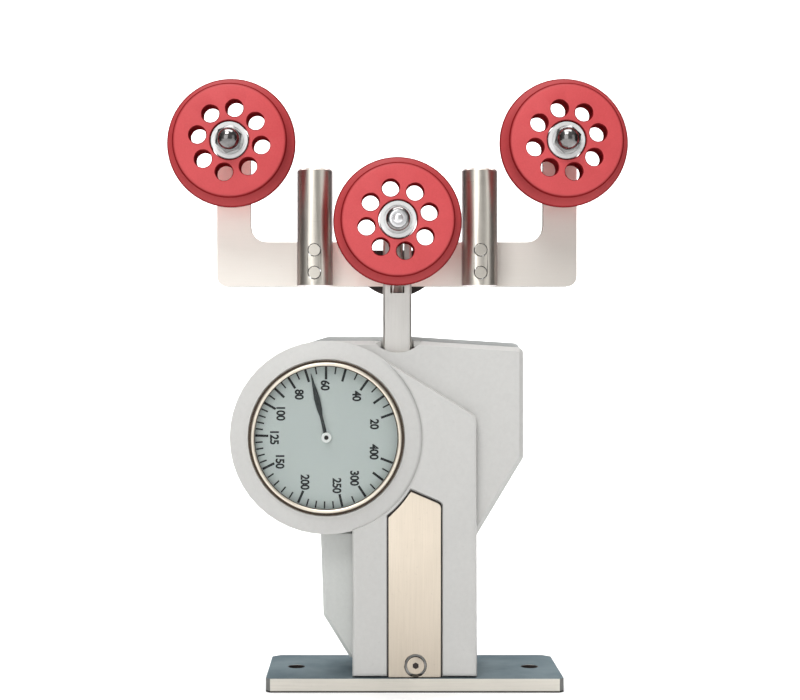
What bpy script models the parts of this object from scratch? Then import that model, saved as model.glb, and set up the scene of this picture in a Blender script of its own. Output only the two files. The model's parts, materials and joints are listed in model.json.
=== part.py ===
"""Bench tension meter for wire and yarn.

Three grooved rollers stand on a housing with a round dial. The two outer rollers
sit on a yoke, which a thumb lever lifts so that the wire can be laid in. The
middle roller sits on a measuring rod, which works against a spring and turns the
pointer through a sector gear. All sizes are in metres. X runs to the right of the
dial, Z up, and the dial faces -Y. The origin is the centre of the base plate's
underside in X, on the plane between the guides of the mechanism in Y.
"""
import math

import bmesh
import bpy
from mathutils import Matrix, Vector

# Clearances and walls
touch_gap = 0.0003
overrun = 0.0020
weld_distance = 0.000001
screw_merge = 0.00001
housing_wall = 0.0022
full_turn = 2 * math.pi
quarter_turn = math.pi / 2
way_turns = {"up": 0, "down": math.pi, "front": math.pi / 2, "back": -math.pi / 2}

# Base plate
base_length = 0.1078
base_depth = 0.0450
base_thickness = 0.0050
base_lead = 0.0012
base_front_chamfer = 0.0016
base_back_chamfer = 0.0030
base_edge_round = 0.0004
fixing_hole_radius = 0.0033
fixing_hole_inset = 0.0102

# Housing in depth: parting plane between the two shells, and the steps of its front
parting_plane = -0.0060
shoulder_depth = 0.0163
grip_step = 0.0040
boss_step = 0.0010
rear_depth = 0.0160
shell_round = 0.0016
rear_round = 0.0030

# Housing outline
grip_width = 0.0452
shoulder_reach = 0.0398
shoulder_foot_drop = 0.0713
shoulder_side_drop = 0.0427
shoulder_top_drop = 0.0025
shoulder_fillet = 0.0022
top_break_x = 0.0
ridge_corner_drop = 0.0275
ridge_fillet = 0.0030
rear_top_rise = 0.0016

# Dial
dial_x = -0.0320
dial_height = 0.0920
boss_radius = 0.0351
bezel_radius = 0.0281
bezel_wall = 0.0006
bezel_lip = 0.0015
bezel_lip_thickness = 0.0006
bezel_proud = 0.0014
bezel_seat_depth = 0.0026
ledge_radius = 0.0245
dial_face_thickness = 0.0004
glass_thickness = 0.0006
glass_overlap = 0.0006

# Pointer and its arbor
pointer_length = 0.0237
pointer_tail = 0.0010
pointer_widest = 0.0023
pointer_waist = 0.0010
pointer_belly_share = 0.60
pointer_waist_share = 0.27
pointer_thickness = 0.0003
pointer_hub_radius = 0.00175
pointer_hub_height = 0.0007
pointer_over_face = 0.0006
pointer_rest_angle = 103.6
arbor_radius = 0.0008
arbor_proud = 0.0002

# Movement behind the dial
movement_plate_radius = 0.0240
movement_plate_thickness = 0.0015
gear_module = 0.00036
pinion_teeth = 10
sector_whole_teeth = 116
sector_thickness = 0.0012
sector_plane = -0.0210
tooth_width_share = 0.30
tooth_tip_share = 0.45
tooth_addendum_share = 0.80
tooth_dedendum_share = 1.20
sector_hub_radius = 0.0024
sector_tail_width = 0.0040
sector_tail_overhang = 0.0018
sector_window_outer_share = 0.82
sector_window_inner_share = 0.36
bridge_plane = -0.0185
bridge_thickness = 0.0010
bridge_width = 0.0064
pillar_radius = 0.0013
pillar_reach = 0.0060
pillar_side_angle = 205.0

# Measuring rod and spring
measuring_travel = 0.0040
rod_width = 0.0044
rod_top_over_axle = 0.0030
rod_foot_drop = 0.0190
rod_foot_radius = 0.0034
rod_foot_thickness = 0.0018
drive_pin_drop = 0.0130
drive_pin_radius = 0.0009
dial_sweep = 340.0
measuring_spring_radius = 0.0028
measuring_spring_wire = 0.0008
measuring_spring_turns = 8
spring_seat_rise = 0.0120
spring_seat_thickness = 0.0030

# Yoke stem
head_x = -0.0061
stem_width = 0.0105
stem_depth = 0.0080
stem_back = -0.0080
stem_web = 0.0030
stem_channel_width = 0.0052
stem_foot_rise = 0.0050
stem_top_rise = 0.0176
stem_slot_drop = 0.0027
stem_edge_round = 0.0007
stem_lug_rise = 0.0040
stem_lug_thickness = 0.0035
stem_lug_reach = 0.0058
stem_lug_depth = 0.0050
stem_bridge_height = 0.0060
stem_bridge_thickness = 0.0024
yoke_lift = 0.0130
lift_pin_radius = 0.0025
lift_shank_radius = 0.0015
lift_pin_rise = 0.0030
lift_pin_length = 0.0038
return_spring_radius = 0.0021
return_spring_wire = 0.0006
return_spring_turns = 6

# Yoke plate
plate_thickness = 0.0035
plate_rise = 0.0203
plate_bar_width = 0.0166
plate_arm_width = 0.0126
plate_outer_fillet = 0.0037
plate_inner_fillet = 0.0060
plate_notch_width = 0.0240
plate_notch_rise = 0.0056
plate_notch_fillet = 0.0040
clamp_radius = 0.0174
clamp_top_rise = 0.0138
clamp_thickness = 0.0030
stem_screw_radius = 0.0008
stem_screw_head_radius = 0.0018
stem_screw_head_height = 0.0012
stem_screw_rise = 0.0029

# Guide posts
post_radius = 0.00665
post_half_spacing = 0.0304
post_length = 0.0431
post_flat_depth = 0.00065
post_chamfer = 0.0008
post_pin_radius = 0.0022
post_pin_proud = 0.0002
post_pin_rises = (0.0046, 0.0129)

# Rollers
roller_half_spacing = 0.0609
outer_roller_rise = 0.0521
middle_roller_rise = 0.0235
groove_reach = 0.0153
roller_width = 0.0100
rear_flange_radius = 0.0236
front_flange_radius = 0.0208
groove_root_radius = 0.0168
groove_root_width = 0.0012
front_rim_width = 0.0013
rear_rim_width = 0.0012
rim_round = 0.0006
hole_circle_radius = 0.0117
hole_radius = 0.00315
hole_count = 8
roller_turn_angles = {"left": -9.3, "middle": 13.0, "right": 13.0}

# Bearings, spacers, washers, nuts and axles of the rollers
bearing_radius = 0.0067
bearing_width = 0.0082
bearing_race_radius = 0.0040
bearing_race_width = 0.0012
bearing_face_recess = 0.0004
journal_radius = 0.0022
axle_head_radius = 0.0042
axle_head_height = 0.0018
spacer_radius = 0.0044
washer_radius = 0.0040
washer_thickness = 0.0005
nut_corner_radius = 0.0046
nut_hex_height = 0.0030
nut_dome_radius = 0.0039
nut_dome_height = 0.0036
nut_bore_depth = 0.0026
dome_rings = 4
cap_flange_radius = 0.0044
cap_flange_height = 0.0018
cap_shoulder_radius = 0.00325
cap_shoulder_height = 0.0012
cap_tip_radius = 0.0018
cap_tip_height = 0.0010

# Thumb lever
lever_pivot_x = -0.0170
lever_pivot_height = 0.0140
lever_angle = 15.0
lever_top_tuck = 0.0006
lever_bend_rise = 0.0125
lever_toe_drop = 0.0031
lever_top_x = -0.03435
lever_bend_x = -0.0333
lever_toe_x = -0.0236
lever_inner_x = -0.0215
lever_fillet = 0.0030
lever_pad_front = -0.0185
lever_pad_back = -0.0030
lever_edge_round = 0.0012
lever_hub_radius = 0.0040
lever_arm_front = -0.0050
lever_arm_back = -0.0020
lever_arm_width = 0.0075
lever_cam_back = 0.0035
lever_knee_drop = 0.0075
lever_cam_points = 12
lever_pin_radius = 0.0016
lever_pin_overhang = 0.0035
lever_slot_gap = 0.0008
lever_slot_over = 0.0040
lever_slot_under = 0.0060
pivot_boss_radius = 0.0036

# Inner frame
frame_front = -0.0072
frame_thickness = 0.0015
frame_left_x = -0.0170
frame_narrow_x = -0.0092
frame_right_x = 0.0070
frame_narrow_drop = 0.0020
guide_height = 0.0096
guide_width = 0.0184
guide_front = -0.0197
guide_right_x = 0.0050
rod_guide_rise = 0.0060
rod_guide_thickness = 0.0050
rod_guide_width = 0.0086
rod_guide_depth = 0.0075
window_margin = 0.0010

# Foot block and screws
foot_left_x = -0.0105
foot_height = 0.0157
foot_screw_spacing = 0.0150
foot_screw_middle_x = 0.0045
foot_screw_y = -0.0080
foot_screw_radius = 0.0020
foot_screw_head_radius = 0.0036
foot_screw_head_height = 0.0026
foot_screw_length = 0.0110
inlay_half_width = 0.0099
inlay_thickness = 0.0010
inlay_groove = 0.00035
inlay_boss_gap = 0.0008
inlay_peak_x = -0.0015
inlay_shoulder_drop = 0.0238
inlay_fillet = 0.0020
inlay_screw_height = 0.0095
inlay_screw_x = 0.0003
inlay_screw_seat_radius = 0.0041
inlay_screw_head_radius = 0.0034
inlay_screw_head_height = 0.0012
inlay_screw_radius = 0.0015
inlay_screw_length = 0.0090
inlay_socket_radius = 0.0014
inlay_socket_depth = 0.0008
housing_screw_radius = 0.0012
housing_screw_head_radius = 0.0022
housing_screw_head_height = 0.0014
housing_screw_length = 0.0200
screw_boss_radius = 0.0033
screw_boss_inset = 0.0061
screw_boss_angles = (136.0, 217.0)
screw_boss_grip_height = 0.0340
screw_boss_shoulder_drop = 0.0096

# Scallop at the foot of the stem
scallop_radius = 0.0114
scallop_depth = 0.0044
scallop_floor_margin = 0.0020
stem_hole_gap = 0.0008

# Places worked out from the values above
grip_half = grip_width / 2
shoulder_front = parting_plane - shoulder_depth
grip_front = shoulder_front - grip_step
boss_front = grip_front - boss_step
rear_back = parting_plane + rear_depth
rear_inner = rear_back - housing_wall
base_front = grip_front - base_lead
base_back = base_front + base_depth
base_middle_y = (base_front + base_back) / 2
housing_bottom = base_thickness + touch_gap
boss_top = dial_height + boss_radius
fixing_hole_reach = base_length / 2 - fixing_hole_inset
shoulder_foot_height = boss_top - shoulder_foot_drop
shoulder_side_height = boss_top - shoulder_side_drop
shoulder_top_height = boss_top - shoulder_top_drop
ridge_corner_height = boss_top - ridge_corner_drop
inlay_shoulder_height = dial_height - inlay_shoulder_drop
screw_boss_shoulder_height = shoulder_top_height - screw_boss_shoulder_drop
drive_pin_height = dial_height - drive_pin_drop
rod_foot_height = drive_pin_height - rod_foot_drop
rod_guide_height = rod_foot_height + rod_guide_rise
frame_narrow_height = rod_guide_height - frame_narrow_drop
stem_foot_height = drive_pin_height + stem_foot_rise
stem_lug_height = stem_foot_height + stem_lug_rise
lift_pin_height = stem_foot_height + lift_pin_rise
plate_bottom_height = boss_top + plate_rise
stem_top_height = plate_bottom_height + stem_top_rise
stem_slot_height = plate_bottom_height - stem_slot_drop
plate_bar_height = plate_bottom_height + plate_bar_width
plate_notch_height = plate_bottom_height + plate_notch_rise
clamp_top_height = plate_bottom_height + clamp_top_rise
stem_screw_height = plate_bottom_height + stem_screw_rise
post_top_height = plate_bottom_height + post_length
post_pin_heights = [plate_bottom_height + rise for rise in post_pin_rises]
outer_roller_height = plate_bottom_height + outer_roller_rise
middle_roller_height = plate_bottom_height + middle_roller_rise
lever_top_height = dial_height - boss_radius + lever_top_tuck
lever_bend_height = lever_pivot_height + lever_bend_rise
lever_toe_height = lever_pivot_height - lever_toe_drop
lever_knee_height = lever_top_height - lever_knee_drop
lever_slot_top = lever_top_height + lever_slot_over
lever_slot_bottom = lever_pivot_height - lever_slot_under
inner_front = grip_front + housing_wall + inlay_thickness / 4
foot_top = housing_bottom + foot_height
spring_seat_height = foot_top + spring_seat_rise
frame_top = boss_top - scallop_depth - housing_wall - touch_gap
guide_bottom = frame_top - guide_height
inlay_screw_front = grip_front + inlay_thickness - inlay_screw_head_height
screw_bore_end = rear_back - housing_screw_head_height - housing_screw_length - touch_gap
stem_front = stem_back - stem_depth
bridge_front = stem_back - touch_gap
rod_back = bridge_front - touch_gap
rod_front = stem_front + stem_web + touch_gap
rod_middle = (rod_front + rod_back) / 2
stem_screw_offset = (stem_width + stem_channel_width) / 4
return_spring_x = head_x + (stem_width + stem_lug_reach) / 2
return_spring_y = (stem_front + stem_back) / 2
plate_front = stem_back + touch_gap
plate_back = plate_front + plate_thickness
clamp_back = plate_back + touch_gap + clamp_thickness
post_middle_y = plate_front - touch_gap - post_radius + post_flat_depth
groove_plane = plate_front - groove_reach
roller_front = groove_plane - roller_width / 2
bearing_front = roller_front + bearing_face_recess
bearing_back = bearing_front + bearing_width
washer_back = bearing_front - touch_gap
washer_front = washer_back - washer_thickness
nut_back = washer_front - touch_gap
journal_front = nut_back - nut_bore_depth + touch_gap
bezel_front = boss_front - bezel_proud
bezel_seat = boss_front + bezel_seat_depth
dial_face_back = bezel_seat - touch_gap
dial_face_front = dial_face_back - dial_face_thickness
pointer_back = dial_face_front - pointer_over_face
pointer_front = pointer_back - pointer_thickness
pointer_hub_front = pointer_back - pointer_hub_height
glass_front = bezel_front + bezel_lip_thickness + touch_gap
glass_back = glass_front + glass_thickness
movement_front = dial_face_back + touch_gap
movement_back = movement_front + movement_plate_thickness
bridge_back = bridge_plane + bridge_thickness
sector_ratio = sector_whole_teeth / pinion_teeth
sector_sweep = math.radians(dial_sweep) / sector_ratio
sector_tail_length = measuring_travel / sector_sweep
rest_travel = measuring_travel * pointer_rest_angle / dial_sweep
sector_x = head_x - sector_tail_length
sector_height = drive_pin_height - (measuring_travel / 2 - rest_travel)
pinion_step = Vector((dial_x - sector_x, dial_height - sector_height))
mesh_angle = math.degrees(math.atan2(pinion_step.y, pinion_step.x))
zero_side_swing = math.degrees(sector_sweep) * pointer_rest_angle / dial_sweep
lever_slot_front = lever_pad_front - lever_slot_gap
lever_slot_back = lever_arm_back + lever_slot_gap
lever_pin_front = lever_pad_front - lever_pin_overhang
lever_pin_back = lever_arm_back + lever_pin_overhang


def clear_scene():
    """Start from an empty scene."""
    for item in list(bpy.data.objects):
        bpy.data.objects.remove(item, do_unlink=True)
    for group in list(bpy.data.collections):
        bpy.data.collections.remove(group)


def new_group(name):
    """Add a collection to the scene."""
    group = bpy.data.collections.new(name)
    bpy.context.scene.collection.children.link(group)
    return group


def finish_material(name, colour, roughness, metallic):
    """One Principled surface, as the photo shows it."""
    surface = bpy.data.materials.new(name)
    surface.use_nodes = True
    shader = surface.node_tree.nodes["Principled BSDF"]
    shader.inputs["Base Color"].default_value = (*colour, 1)
    shader.inputs["Roughness"].default_value = roughness
    shader.inputs["Metallic"].default_value = metallic
    return surface


clear_scene()
parts = new_group("tension_meter")
cutters = new_group("cutters")
surfaces = {
    "roller_red": finish_material("roller_red", (0.72, 0.08, 0.08), 0.55, 0),
    "cast_paint": finish_material("cast_paint", (0.72, 0.73, 0.72), 0.5, 0),
    "lever_paint": finish_material("lever_paint", (0.66, 0.67, 0.66), 0.5, 0),
    "brushed_steel": finish_material("brushed_steel", (0.70, 0.66, 0.60), 0.35, 1),
    "base_steel": finish_material("base_steel", (0.45, 0.48, 0.50), 0.35, 1),
    "polished_steel": finish_material("polished_steel", (0.62, 0.58, 0.55), 0.2, 1),
    "chrome": finish_material("chrome", (0.75, 0.77, 0.80), 0.1, 1),
    "bearing_steel": finish_material("bearing_steel", (0.85, 0.86, 0.88), 0.25, 1),
    "dark_steel": finish_material("dark_steel", (0.05, 0.04, 0.04), 0.45, 1),
    "brass": finish_material("brass", (0.70, 0.52, 0.25), 0.3, 1),
    "dial_grey": finish_material("dial_grey", (0.62, 0.68, 0.69), 0.5, 0),
    "pointer_black": finish_material("pointer_black", (0.06, 0.07, 0.07), 0.5, 0),
    "seal_rubber": finish_material("seal_rubber", (0.05, 0.05, 0.05), 0.7, 0),
    "clear_glass": finish_material("clear_glass", (0.95, 0.97, 0.98), 0.02, 0),
    "spring_steel": finish_material("spring_steel", (0.55, 0.56, 0.58), 0.3, 1),
}


def place_in(group, item):
    """Keep an object in one collection only."""
    for holder in list(item.users_collection):
        holder.objects.unlink(item)
    group.objects.link(item)


def new_object(name, mesh):
    """A mesh object, first among the parts."""
    item = bpy.data.objects.new(name, mesh)
    parts.objects.link(item)
    return item


def keep(item, surface, smooth=True):
    """Give a finished piece its surface and its shading."""
    item.data.materials.clear()
    item.data.materials.append(surfaces[surface])
    if smooth and item.type == "MESH":
        item.data.shade_smooth()
        item.data.set_sharp_from_angle(angle=math.radians(35))
    return item


def weld(mesh):
    """Close a mesh made from a curve and take out the inner edges of flat faces."""
    work = bmesh.new()
    work.from_mesh(mesh)
    bmesh.ops.remove_doubles(work, verts=work.verts, dist=weld_distance)
    bmesh.ops.dissolve_limit(work, angle_limit=0.001, verts=work.verts, edges=work.edges)
    work.to_mesh(mesh)
    work.free()


def arc(centre, radius, start, end, steps):
    """Points of an arc, angles in degrees from the first axis."""
    points = []
    for step in range(steps + 1):
        angle = math.radians(start + (end - start) * step / steps)
        points.append((centre[0] + radius * math.cos(angle), centre[1] + radius * math.sin(angle)))
    return points


def circle(centre, radius, steps):
    """Points of a full circle, the first not repeated."""
    return arc(centre, radius, 0, 360, steps)[:-1]


def rounded(corners, steps=4):
    """Outline from corners (x, z, fillet radius), with an arc at each fillet."""
    points = []
    for index, (across, up, radius) in enumerate(corners):
        here = Vector((across, up))
        if radius == 0:
            points.append(tuple(here))
            continue
        before = Vector(corners[index - 1][:2]) - here
        after = Vector(corners[(index + 1) % len(corners)][:2]) - here
        half = before.angle(after) / 2
        run = min(radius / math.tan(half), before.length / 2, after.length / 2)
        radius = run * math.tan(half)
        middle = (before.normalized() + after.normalized()).normalized()
        centre = here + middle * (radius / math.sin(half))
        first = here + before.normalized() * run - centre
        last = here + after.normalized() * run - centre
        turn = first.angle_signed(last)
        for step in range(steps + 1):
            spoke = first.copy()
            spoke.rotate(Matrix.Rotation(-turn * step / steps, 2))
            points.append(tuple(centre + spoke))
    return points


def extruded(name, outline, low, high, axis="Y", holes=()):
    """Flat outline with a thickness: along Y it is drawn in XZ, along Z in XY."""
    curve = bpy.data.curves.new(name, "CURVE")
    curve.dimensions = "2D"
    curve.fill_mode = "BOTH"
    curve.extrude = (high - low) / 2
    for ring in (outline, *holes):
        spline = curve.splines.new("POLY")
        spline.points.add(len(ring) - 1)
        for point, (across, up) in zip(spline.points, ring):
            point.co = (across, up, 0, 1)
        spline.use_cyclic_u = True
    guide = bpy.data.objects.new(name + "_outline", curve)
    cutters.objects.link(guide)
    middle = (low + high) / 2
    if axis == "Y":
        guide.matrix_world = Matrix.Translation((0, middle, 0)) @ Matrix.Rotation(quarter_turn, 4, "X")
    else:
        guide.matrix_world = Matrix.Translation((0, 0, middle))
    bpy.context.view_layer.update()
    graph = bpy.context.evaluated_depsgraph_get()
    mesh = bpy.data.meshes.new_from_object(guide.evaluated_get(graph))
    mesh.name = name
    mesh.transform(guide.matrix_world)
    weld(mesh)
    bpy.data.objects.remove(guide)
    bpy.data.curves.remove(curve)
    return new_object(name, mesh)


def block(name, low, high):
    """Box between two corners."""
    work = bmesh.new()
    bmesh.ops.create_cube(work, size=1)
    size = [top - bottom for bottom, top in zip(low, high)]
    middle = [(top + bottom) / 2 for bottom, top in zip(low, high)]
    bmesh.ops.scale(work, vec=size, verts=work.verts)
    bmesh.ops.translate(work, vec=middle, verts=work.verts)
    mesh = bpy.data.meshes.new(name)
    work.to_mesh(mesh)
    work.free()
    return new_object(name, mesh)


def pin(name, centre, radius, low, high, axis="Y", steps=20):
    """Cylinder along Y with its centre in XZ, or along Z with its centre in XY."""
    work = bmesh.new()
    bmesh.ops.create_cone(
        work, cap_ends=True, segments=steps, radius1=radius, radius2=radius, depth=high - low
    )
    middle = (low + high) / 2
    if axis == "Y":
        place = Matrix.Translation((centre[0], middle, centre[1])) @ Matrix.Rotation(quarter_turn, 4, "X")
    else:
        place = Matrix.Translation((centre[0], centre[1], middle))
    bmesh.ops.transform(work, matrix=place, verts=work.verts)
    mesh = bpy.data.meshes.new(name)
    work.to_mesh(mesh)
    work.free()
    return new_object(name, mesh)


def turned(name, profile, centre, way="front", steps=32, ring=False):
    """Turned piece: profile of (radius, height), top first, its top facing the given way."""
    mesh = bpy.data.meshes.new(name)
    points = [(radius, 0, height) for radius, height in profile]
    edges = [(index, index + 1) for index in range(len(points) - 1)]
    if ring:
        edges.append((len(points) - 1, 0))
    mesh.from_pydata(points, edges, [])
    item = new_object(name, mesh)
    item.location = centre
    item.rotation_euler = (way_turns[way], 0, 0)
    turn = item.modifiers.new("turn", "SCREW")
    turn.angle = full_turn
    turn.steps = steps
    turn.render_steps = steps
    turn.use_merge_vertices = True
    turn.merge_threshold = screw_merge
    turn.use_smooth_shade = True
    return item


def toothed_points(centre, teeth, first, count, turn):
    """Points along teeth of a gear, from tooth number first, its angle offset in degrees."""
    pitch_radius = gear_module * teeth / 2
    tip = pitch_radius + gear_module * tooth_addendum_share
    root = pitch_radius - gear_module * tooth_dedendum_share
    pitch = 360 / teeth
    points = []
    for number in range(first, first + count):
        middle = turn + number * pitch
        foot = pitch * tooth_width_share
        head = foot * tooth_tip_share
        for radius, offset in ((root, -foot), (tip, -head), (tip, head), (root, foot)):
            angle = math.radians(middle + offset)
            points.append((centre[0] + radius * math.cos(angle), centre[1] + radius * math.sin(angle)))
    return points


def hide_tool(item):
    """A cutter or a joined helper shows as a wire only."""
    place_in(cutters, item)
    item.hide_render = True
    item.display_type = "WIRE"


def combine(target, operation, tools):
    """Boolean modifiers, one for each tool."""
    for tool in tools:
        step = target.modifiers.new(operation.lower(), "BOOLEAN")
        step.operation = operation
        step.object = tool
        step.solver = "EXACT"
        hide_tool(tool)
    return target


def cut(target, *tools):
    """Take tools out of a piece."""
    return combine(target, "DIFFERENCE", tools)


def join(target, *tools):
    """Make tools part of a piece."""
    return combine(target, "UNION", tools)


def round_edges(item, width, segments=2):
    """Round every sharp edge of a piece."""
    step = item.modifiers.new("round", "BEVEL")
    step.width = width
    step.segments = segments
    step.limit_method = "ANGLE"
    step.angle_limit = math.radians(40)
    return item


def round_face(item, plane, width, segments=2):
    """Round the rim of the one flat face that lies on a plane across Y."""
    work = bmesh.new()
    work.from_mesh(item.data)
    weights = work.edges.layers.float.new("bevel_weight_edge")
    for edge in work.edges:
        on_plane = all(abs(corner.co.y - plane) < weld_distance for corner in edge.verts)
        if on_plane and edge.calc_face_angle(0) > math.radians(40):
            edge[weights] = 1
    work.to_mesh(item.data)
    work.free()
    step = item.modifiers.new("round_rim", "BEVEL")
    step.width = width
    step.segments = segments
    step.limit_method = "WEIGHT"
    return item


def ride(empty, *pieces):
    """Hang pieces on the empty that marks their joint."""
    for piece in pieces:
        piece.parent = empty
        piece.matrix_parent_inverse = empty.matrix_world.inverted()


def joint_mark(name, place):
    """Empty on a joint's axis."""
    mark = bpy.data.objects.new(name, None)
    mark.empty_display_size = touch_gap
    mark.location = place
    parts.objects.link(mark)
    bpy.context.view_layer.update()
    return mark


def coil(name, centre, radius, wire, bottom, top, turns):
    """Spring wound around a line along Z, its least gap between turns printed."""
    curve = bpy.data.curves.new(name, "CURVE")
    curve.dimensions = "3D"
    curve.bevel_depth = wire / 2
    curve.bevel_resolution = 1
    curve.use_fill_caps = True
    points_per_turn = 8
    count = turns * points_per_turn + 1
    rise = top - bottom - wire
    spline = curve.splines.new("POLY")
    spline.points.add(count - 1)
    for number, point in enumerate(spline.points):
        share = number / (count - 1)
        angle = full_turn * turns * share
        across = centre[0] + radius * math.cos(angle)
        depth = centre[1] + radius * math.sin(angle)
        point.co = (across, depth, bottom + wire / 2 + rise * share, 1)
    print(name, "least gap between turns", round(rise / turns - wire, 5))
    item = bpy.data.objects.new(name, curve)
    parts.objects.link(item)
    return item


def stadium(first, last, radius, steps=6):
    """Outline of a bar with round ends between two points."""
    along = math.degrees(math.atan2(last[1] - first[1], last[0] - first[0]))
    far_end = arc(last, radius, along - 90, along + 90, steps)
    return far_end + arc(first, radius, along + 90, along + 270, steps)


def polar(centre, radius, angle):
    """Point at an angle in degrees around a centre."""
    turn = math.radians(angle)
    return (centre[0] + radius * math.cos(turn), centre[1] + radius * math.sin(turn))


def rectangle(left, right, bottom, top):
    """Corners of a rectangle."""
    return [(left, bottom), (right, bottom), (right, top), (left, top)]


def boss_meet_angle(half, radius):
    """Angle where the boss circle runs into the left side of the grip."""
    return 360 - math.degrees(math.acos((-half - dial_x) / radius))


def housing_outline(inset, top_rise, bottom):
    """Outline of the housing, drawn in from its rim: grip, right shoulder, top and boss circle."""
    half = grip_half - inset
    reach = shoulder_reach - inset
    slope = (shoulder_side_height - shoulder_foot_height) / (shoulder_reach - grip_half)
    slant = inset * (math.sqrt(1 + slope * slope) - slope)
    radius = boss_radius - inset
    top = boss_top + top_rise - inset
    fillet = max(shoulder_fillet - inset / 2, touch_gap)
    corners = [
        (-half, bottom, 0),
        (half, bottom, 0),
        (half, shoulder_foot_height + slant, fillet),
        (reach, shoulder_side_height + slant, fillet),
        (reach, shoulder_top_height + top_rise - inset, fillet),
        (top_break_x, top, fillet),
        (dial_x, top, 0),
    ]
    leave = 90 + math.degrees(math.acos(radius / (radius + top_rise)))
    rim = arc((dial_x, dial_height), radius, leave, boss_meet_angle(half, radius), 28)
    if top_rise == 0:
        rim = rim[1:]
    return rounded(corners) + rim


def raised_outline(inset, bottom):
    """Outline of the raised front: grip, slanted ridge that runs into the boss, and boss circle."""
    half = grip_half - inset
    radius = boss_radius - inset
    corner = Vector((grip_half, ridge_corner_height))
    touch = polar((dial_x, dial_height), boss_radius, ridge_touch_angle())
    slope = (touch[1] - corner.y) / (corner.x - touch[0])
    drop = inset * (math.sqrt(1 + slope * slope) - slope)
    corners = [
        (-half, bottom, 0),
        (half, bottom, 0),
        (half, corner.y - drop, ridge_fillet),
        (*polar((dial_x, dial_height), radius, ridge_touch_angle()), 0),
    ]
    rim = arc((dial_x, dial_height), radius, ridge_touch_angle(), boss_meet_angle(half, radius), 32)
    return rounded(corners) + rim[1:]


def ridge_touch_angle():
    """Angle at which the ridge touches the boss circle."""
    step = Vector((grip_half - dial_x, ridge_corner_height - dial_height))
    return math.degrees(math.atan2(step.y, step.x) + math.acos(boss_radius / step.length))


def inlay_outline(grow):
    """Outline of the inlay: its left top follows the boss, its right top falls to a round shoulder."""
    centre = (dial_x, dial_height)
    half = inlay_half_width + grow
    radius = boss_radius + inlay_boss_gap - grow
    low_angle = 360 - math.degrees(math.acos((-half - dial_x) / radius))
    peak = 360 - math.degrees(math.acos((inlay_peak_x - dial_x) / radius))
    side = [
        (-half, housing_bottom - grow, 0),
        (half, housing_bottom - grow, 0),
        (half, inlay_shoulder_height + grow, inlay_fillet),
        (*polar(centre, radius, peak), 0),
    ]
    return rounded(side) + arc(centre, radius, peak, low_angle, 8)[1:]


def screw_boss_places():
    """Places of the four screws that hold the two shells together."""
    inset_radius = boss_radius - screw_boss_inset
    places = [polar((dial_x, dial_height), inset_radius, angle) for angle in screw_boss_angles]
    places.append((grip_half - screw_boss_inset, screw_boss_grip_height))
    places.append((shoulder_reach - screw_boss_inset, screw_boss_shoulder_height))
    return places


def make_base():
    """Steel base plate with its fixing holes, and the two screws that hold the housing."""
    left = -base_length / 2
    right = base_length / 2
    outline = [
        (left + base_front_chamfer, base_front),
        (right - base_front_chamfer, base_front),
        (right, base_front + base_front_chamfer),
        (right, base_back - base_back_chamfer),
        (right - base_back_chamfer, base_back),
        (left + base_back_chamfer, base_back),
        (left, base_back - base_back_chamfer),
        (left, base_front + base_front_chamfer),
    ]
    holes = [
        circle((side * fixing_hole_reach, base_middle_y), fixing_hole_radius, 20) for side in (-1, 1)
    ]
    foot_screws = [foot_screw_middle_x + side * foot_screw_spacing / 2 for side in (-1, 1)]
    for across in foot_screws:
        holes.append(circle((across, foot_screw_y), foot_screw_radius + touch_gap, 12))
    plate = extruded("base_plate", outline, 0, base_thickness, "Z", holes)
    round_edges(plate, base_edge_round, 1)
    for number, across in enumerate(foot_screws):
        seat = pin(
            "foot_screw_seat_" + str(number + 1), (across, foot_screw_y),
            foot_screw_head_radius + touch_gap, -overrun, foot_screw_head_height + 2 * touch_gap, "Z", 20,
        )
        cut(plate, seat)
        screw = turned(
            "base_screw_" + str(number + 1),
            screw_profile(
                foot_screw_head_radius, foot_screw_head_height, foot_screw_radius, foot_screw_length
            ),
            (across, foot_screw_y, touch_gap), "down", 16,
        )
        keep(screw, "dark_steel")
    keep(plate, "base_steel")


def screw_profile(head_radius, head_height, shank_radius, length):
    """Screw with a plain head, its outer face at height zero."""
    return [
        (0, 0),
        (head_radius, 0),
        (head_radius, -head_height),
        (shank_radius, -head_height),
        (shank_radius, -head_height - length),
        (0, -head_height - length),
    ]


def make_foot_block():
    """Metal block in the grip that takes the base screws and the inlay screw."""
    right = grip_half - housing_wall - touch_gap
    foot = block(
        "foot_block",
        (foot_left_x, inner_front + touch_gap, housing_bottom),
        (right, rear_inner - touch_gap, foot_top),
    )
    for number, side in enumerate((-1, 1)):
        across = foot_screw_middle_x + side * foot_screw_spacing / 2
        depth = foot_screw_head_height + foot_screw_length + 2 * touch_gap
        cut(foot, pin(
            "foot_bore_" + str(number + 1), (across, foot_screw_y),
            foot_screw_radius + touch_gap, base_thickness - overrun, depth, "Z", 16,
        ))
    inlay_bore_end = inlay_screw_front + inlay_screw_head_height + inlay_screw_length + touch_gap
    cut(foot, pin(
        "inlay_bore", (inlay_screw_x, inlay_screw_height),
        inlay_screw_radius + touch_gap, grip_front, inlay_bore_end, "Y", 16,
    ))
    keep(foot, "brushed_steel")


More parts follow.
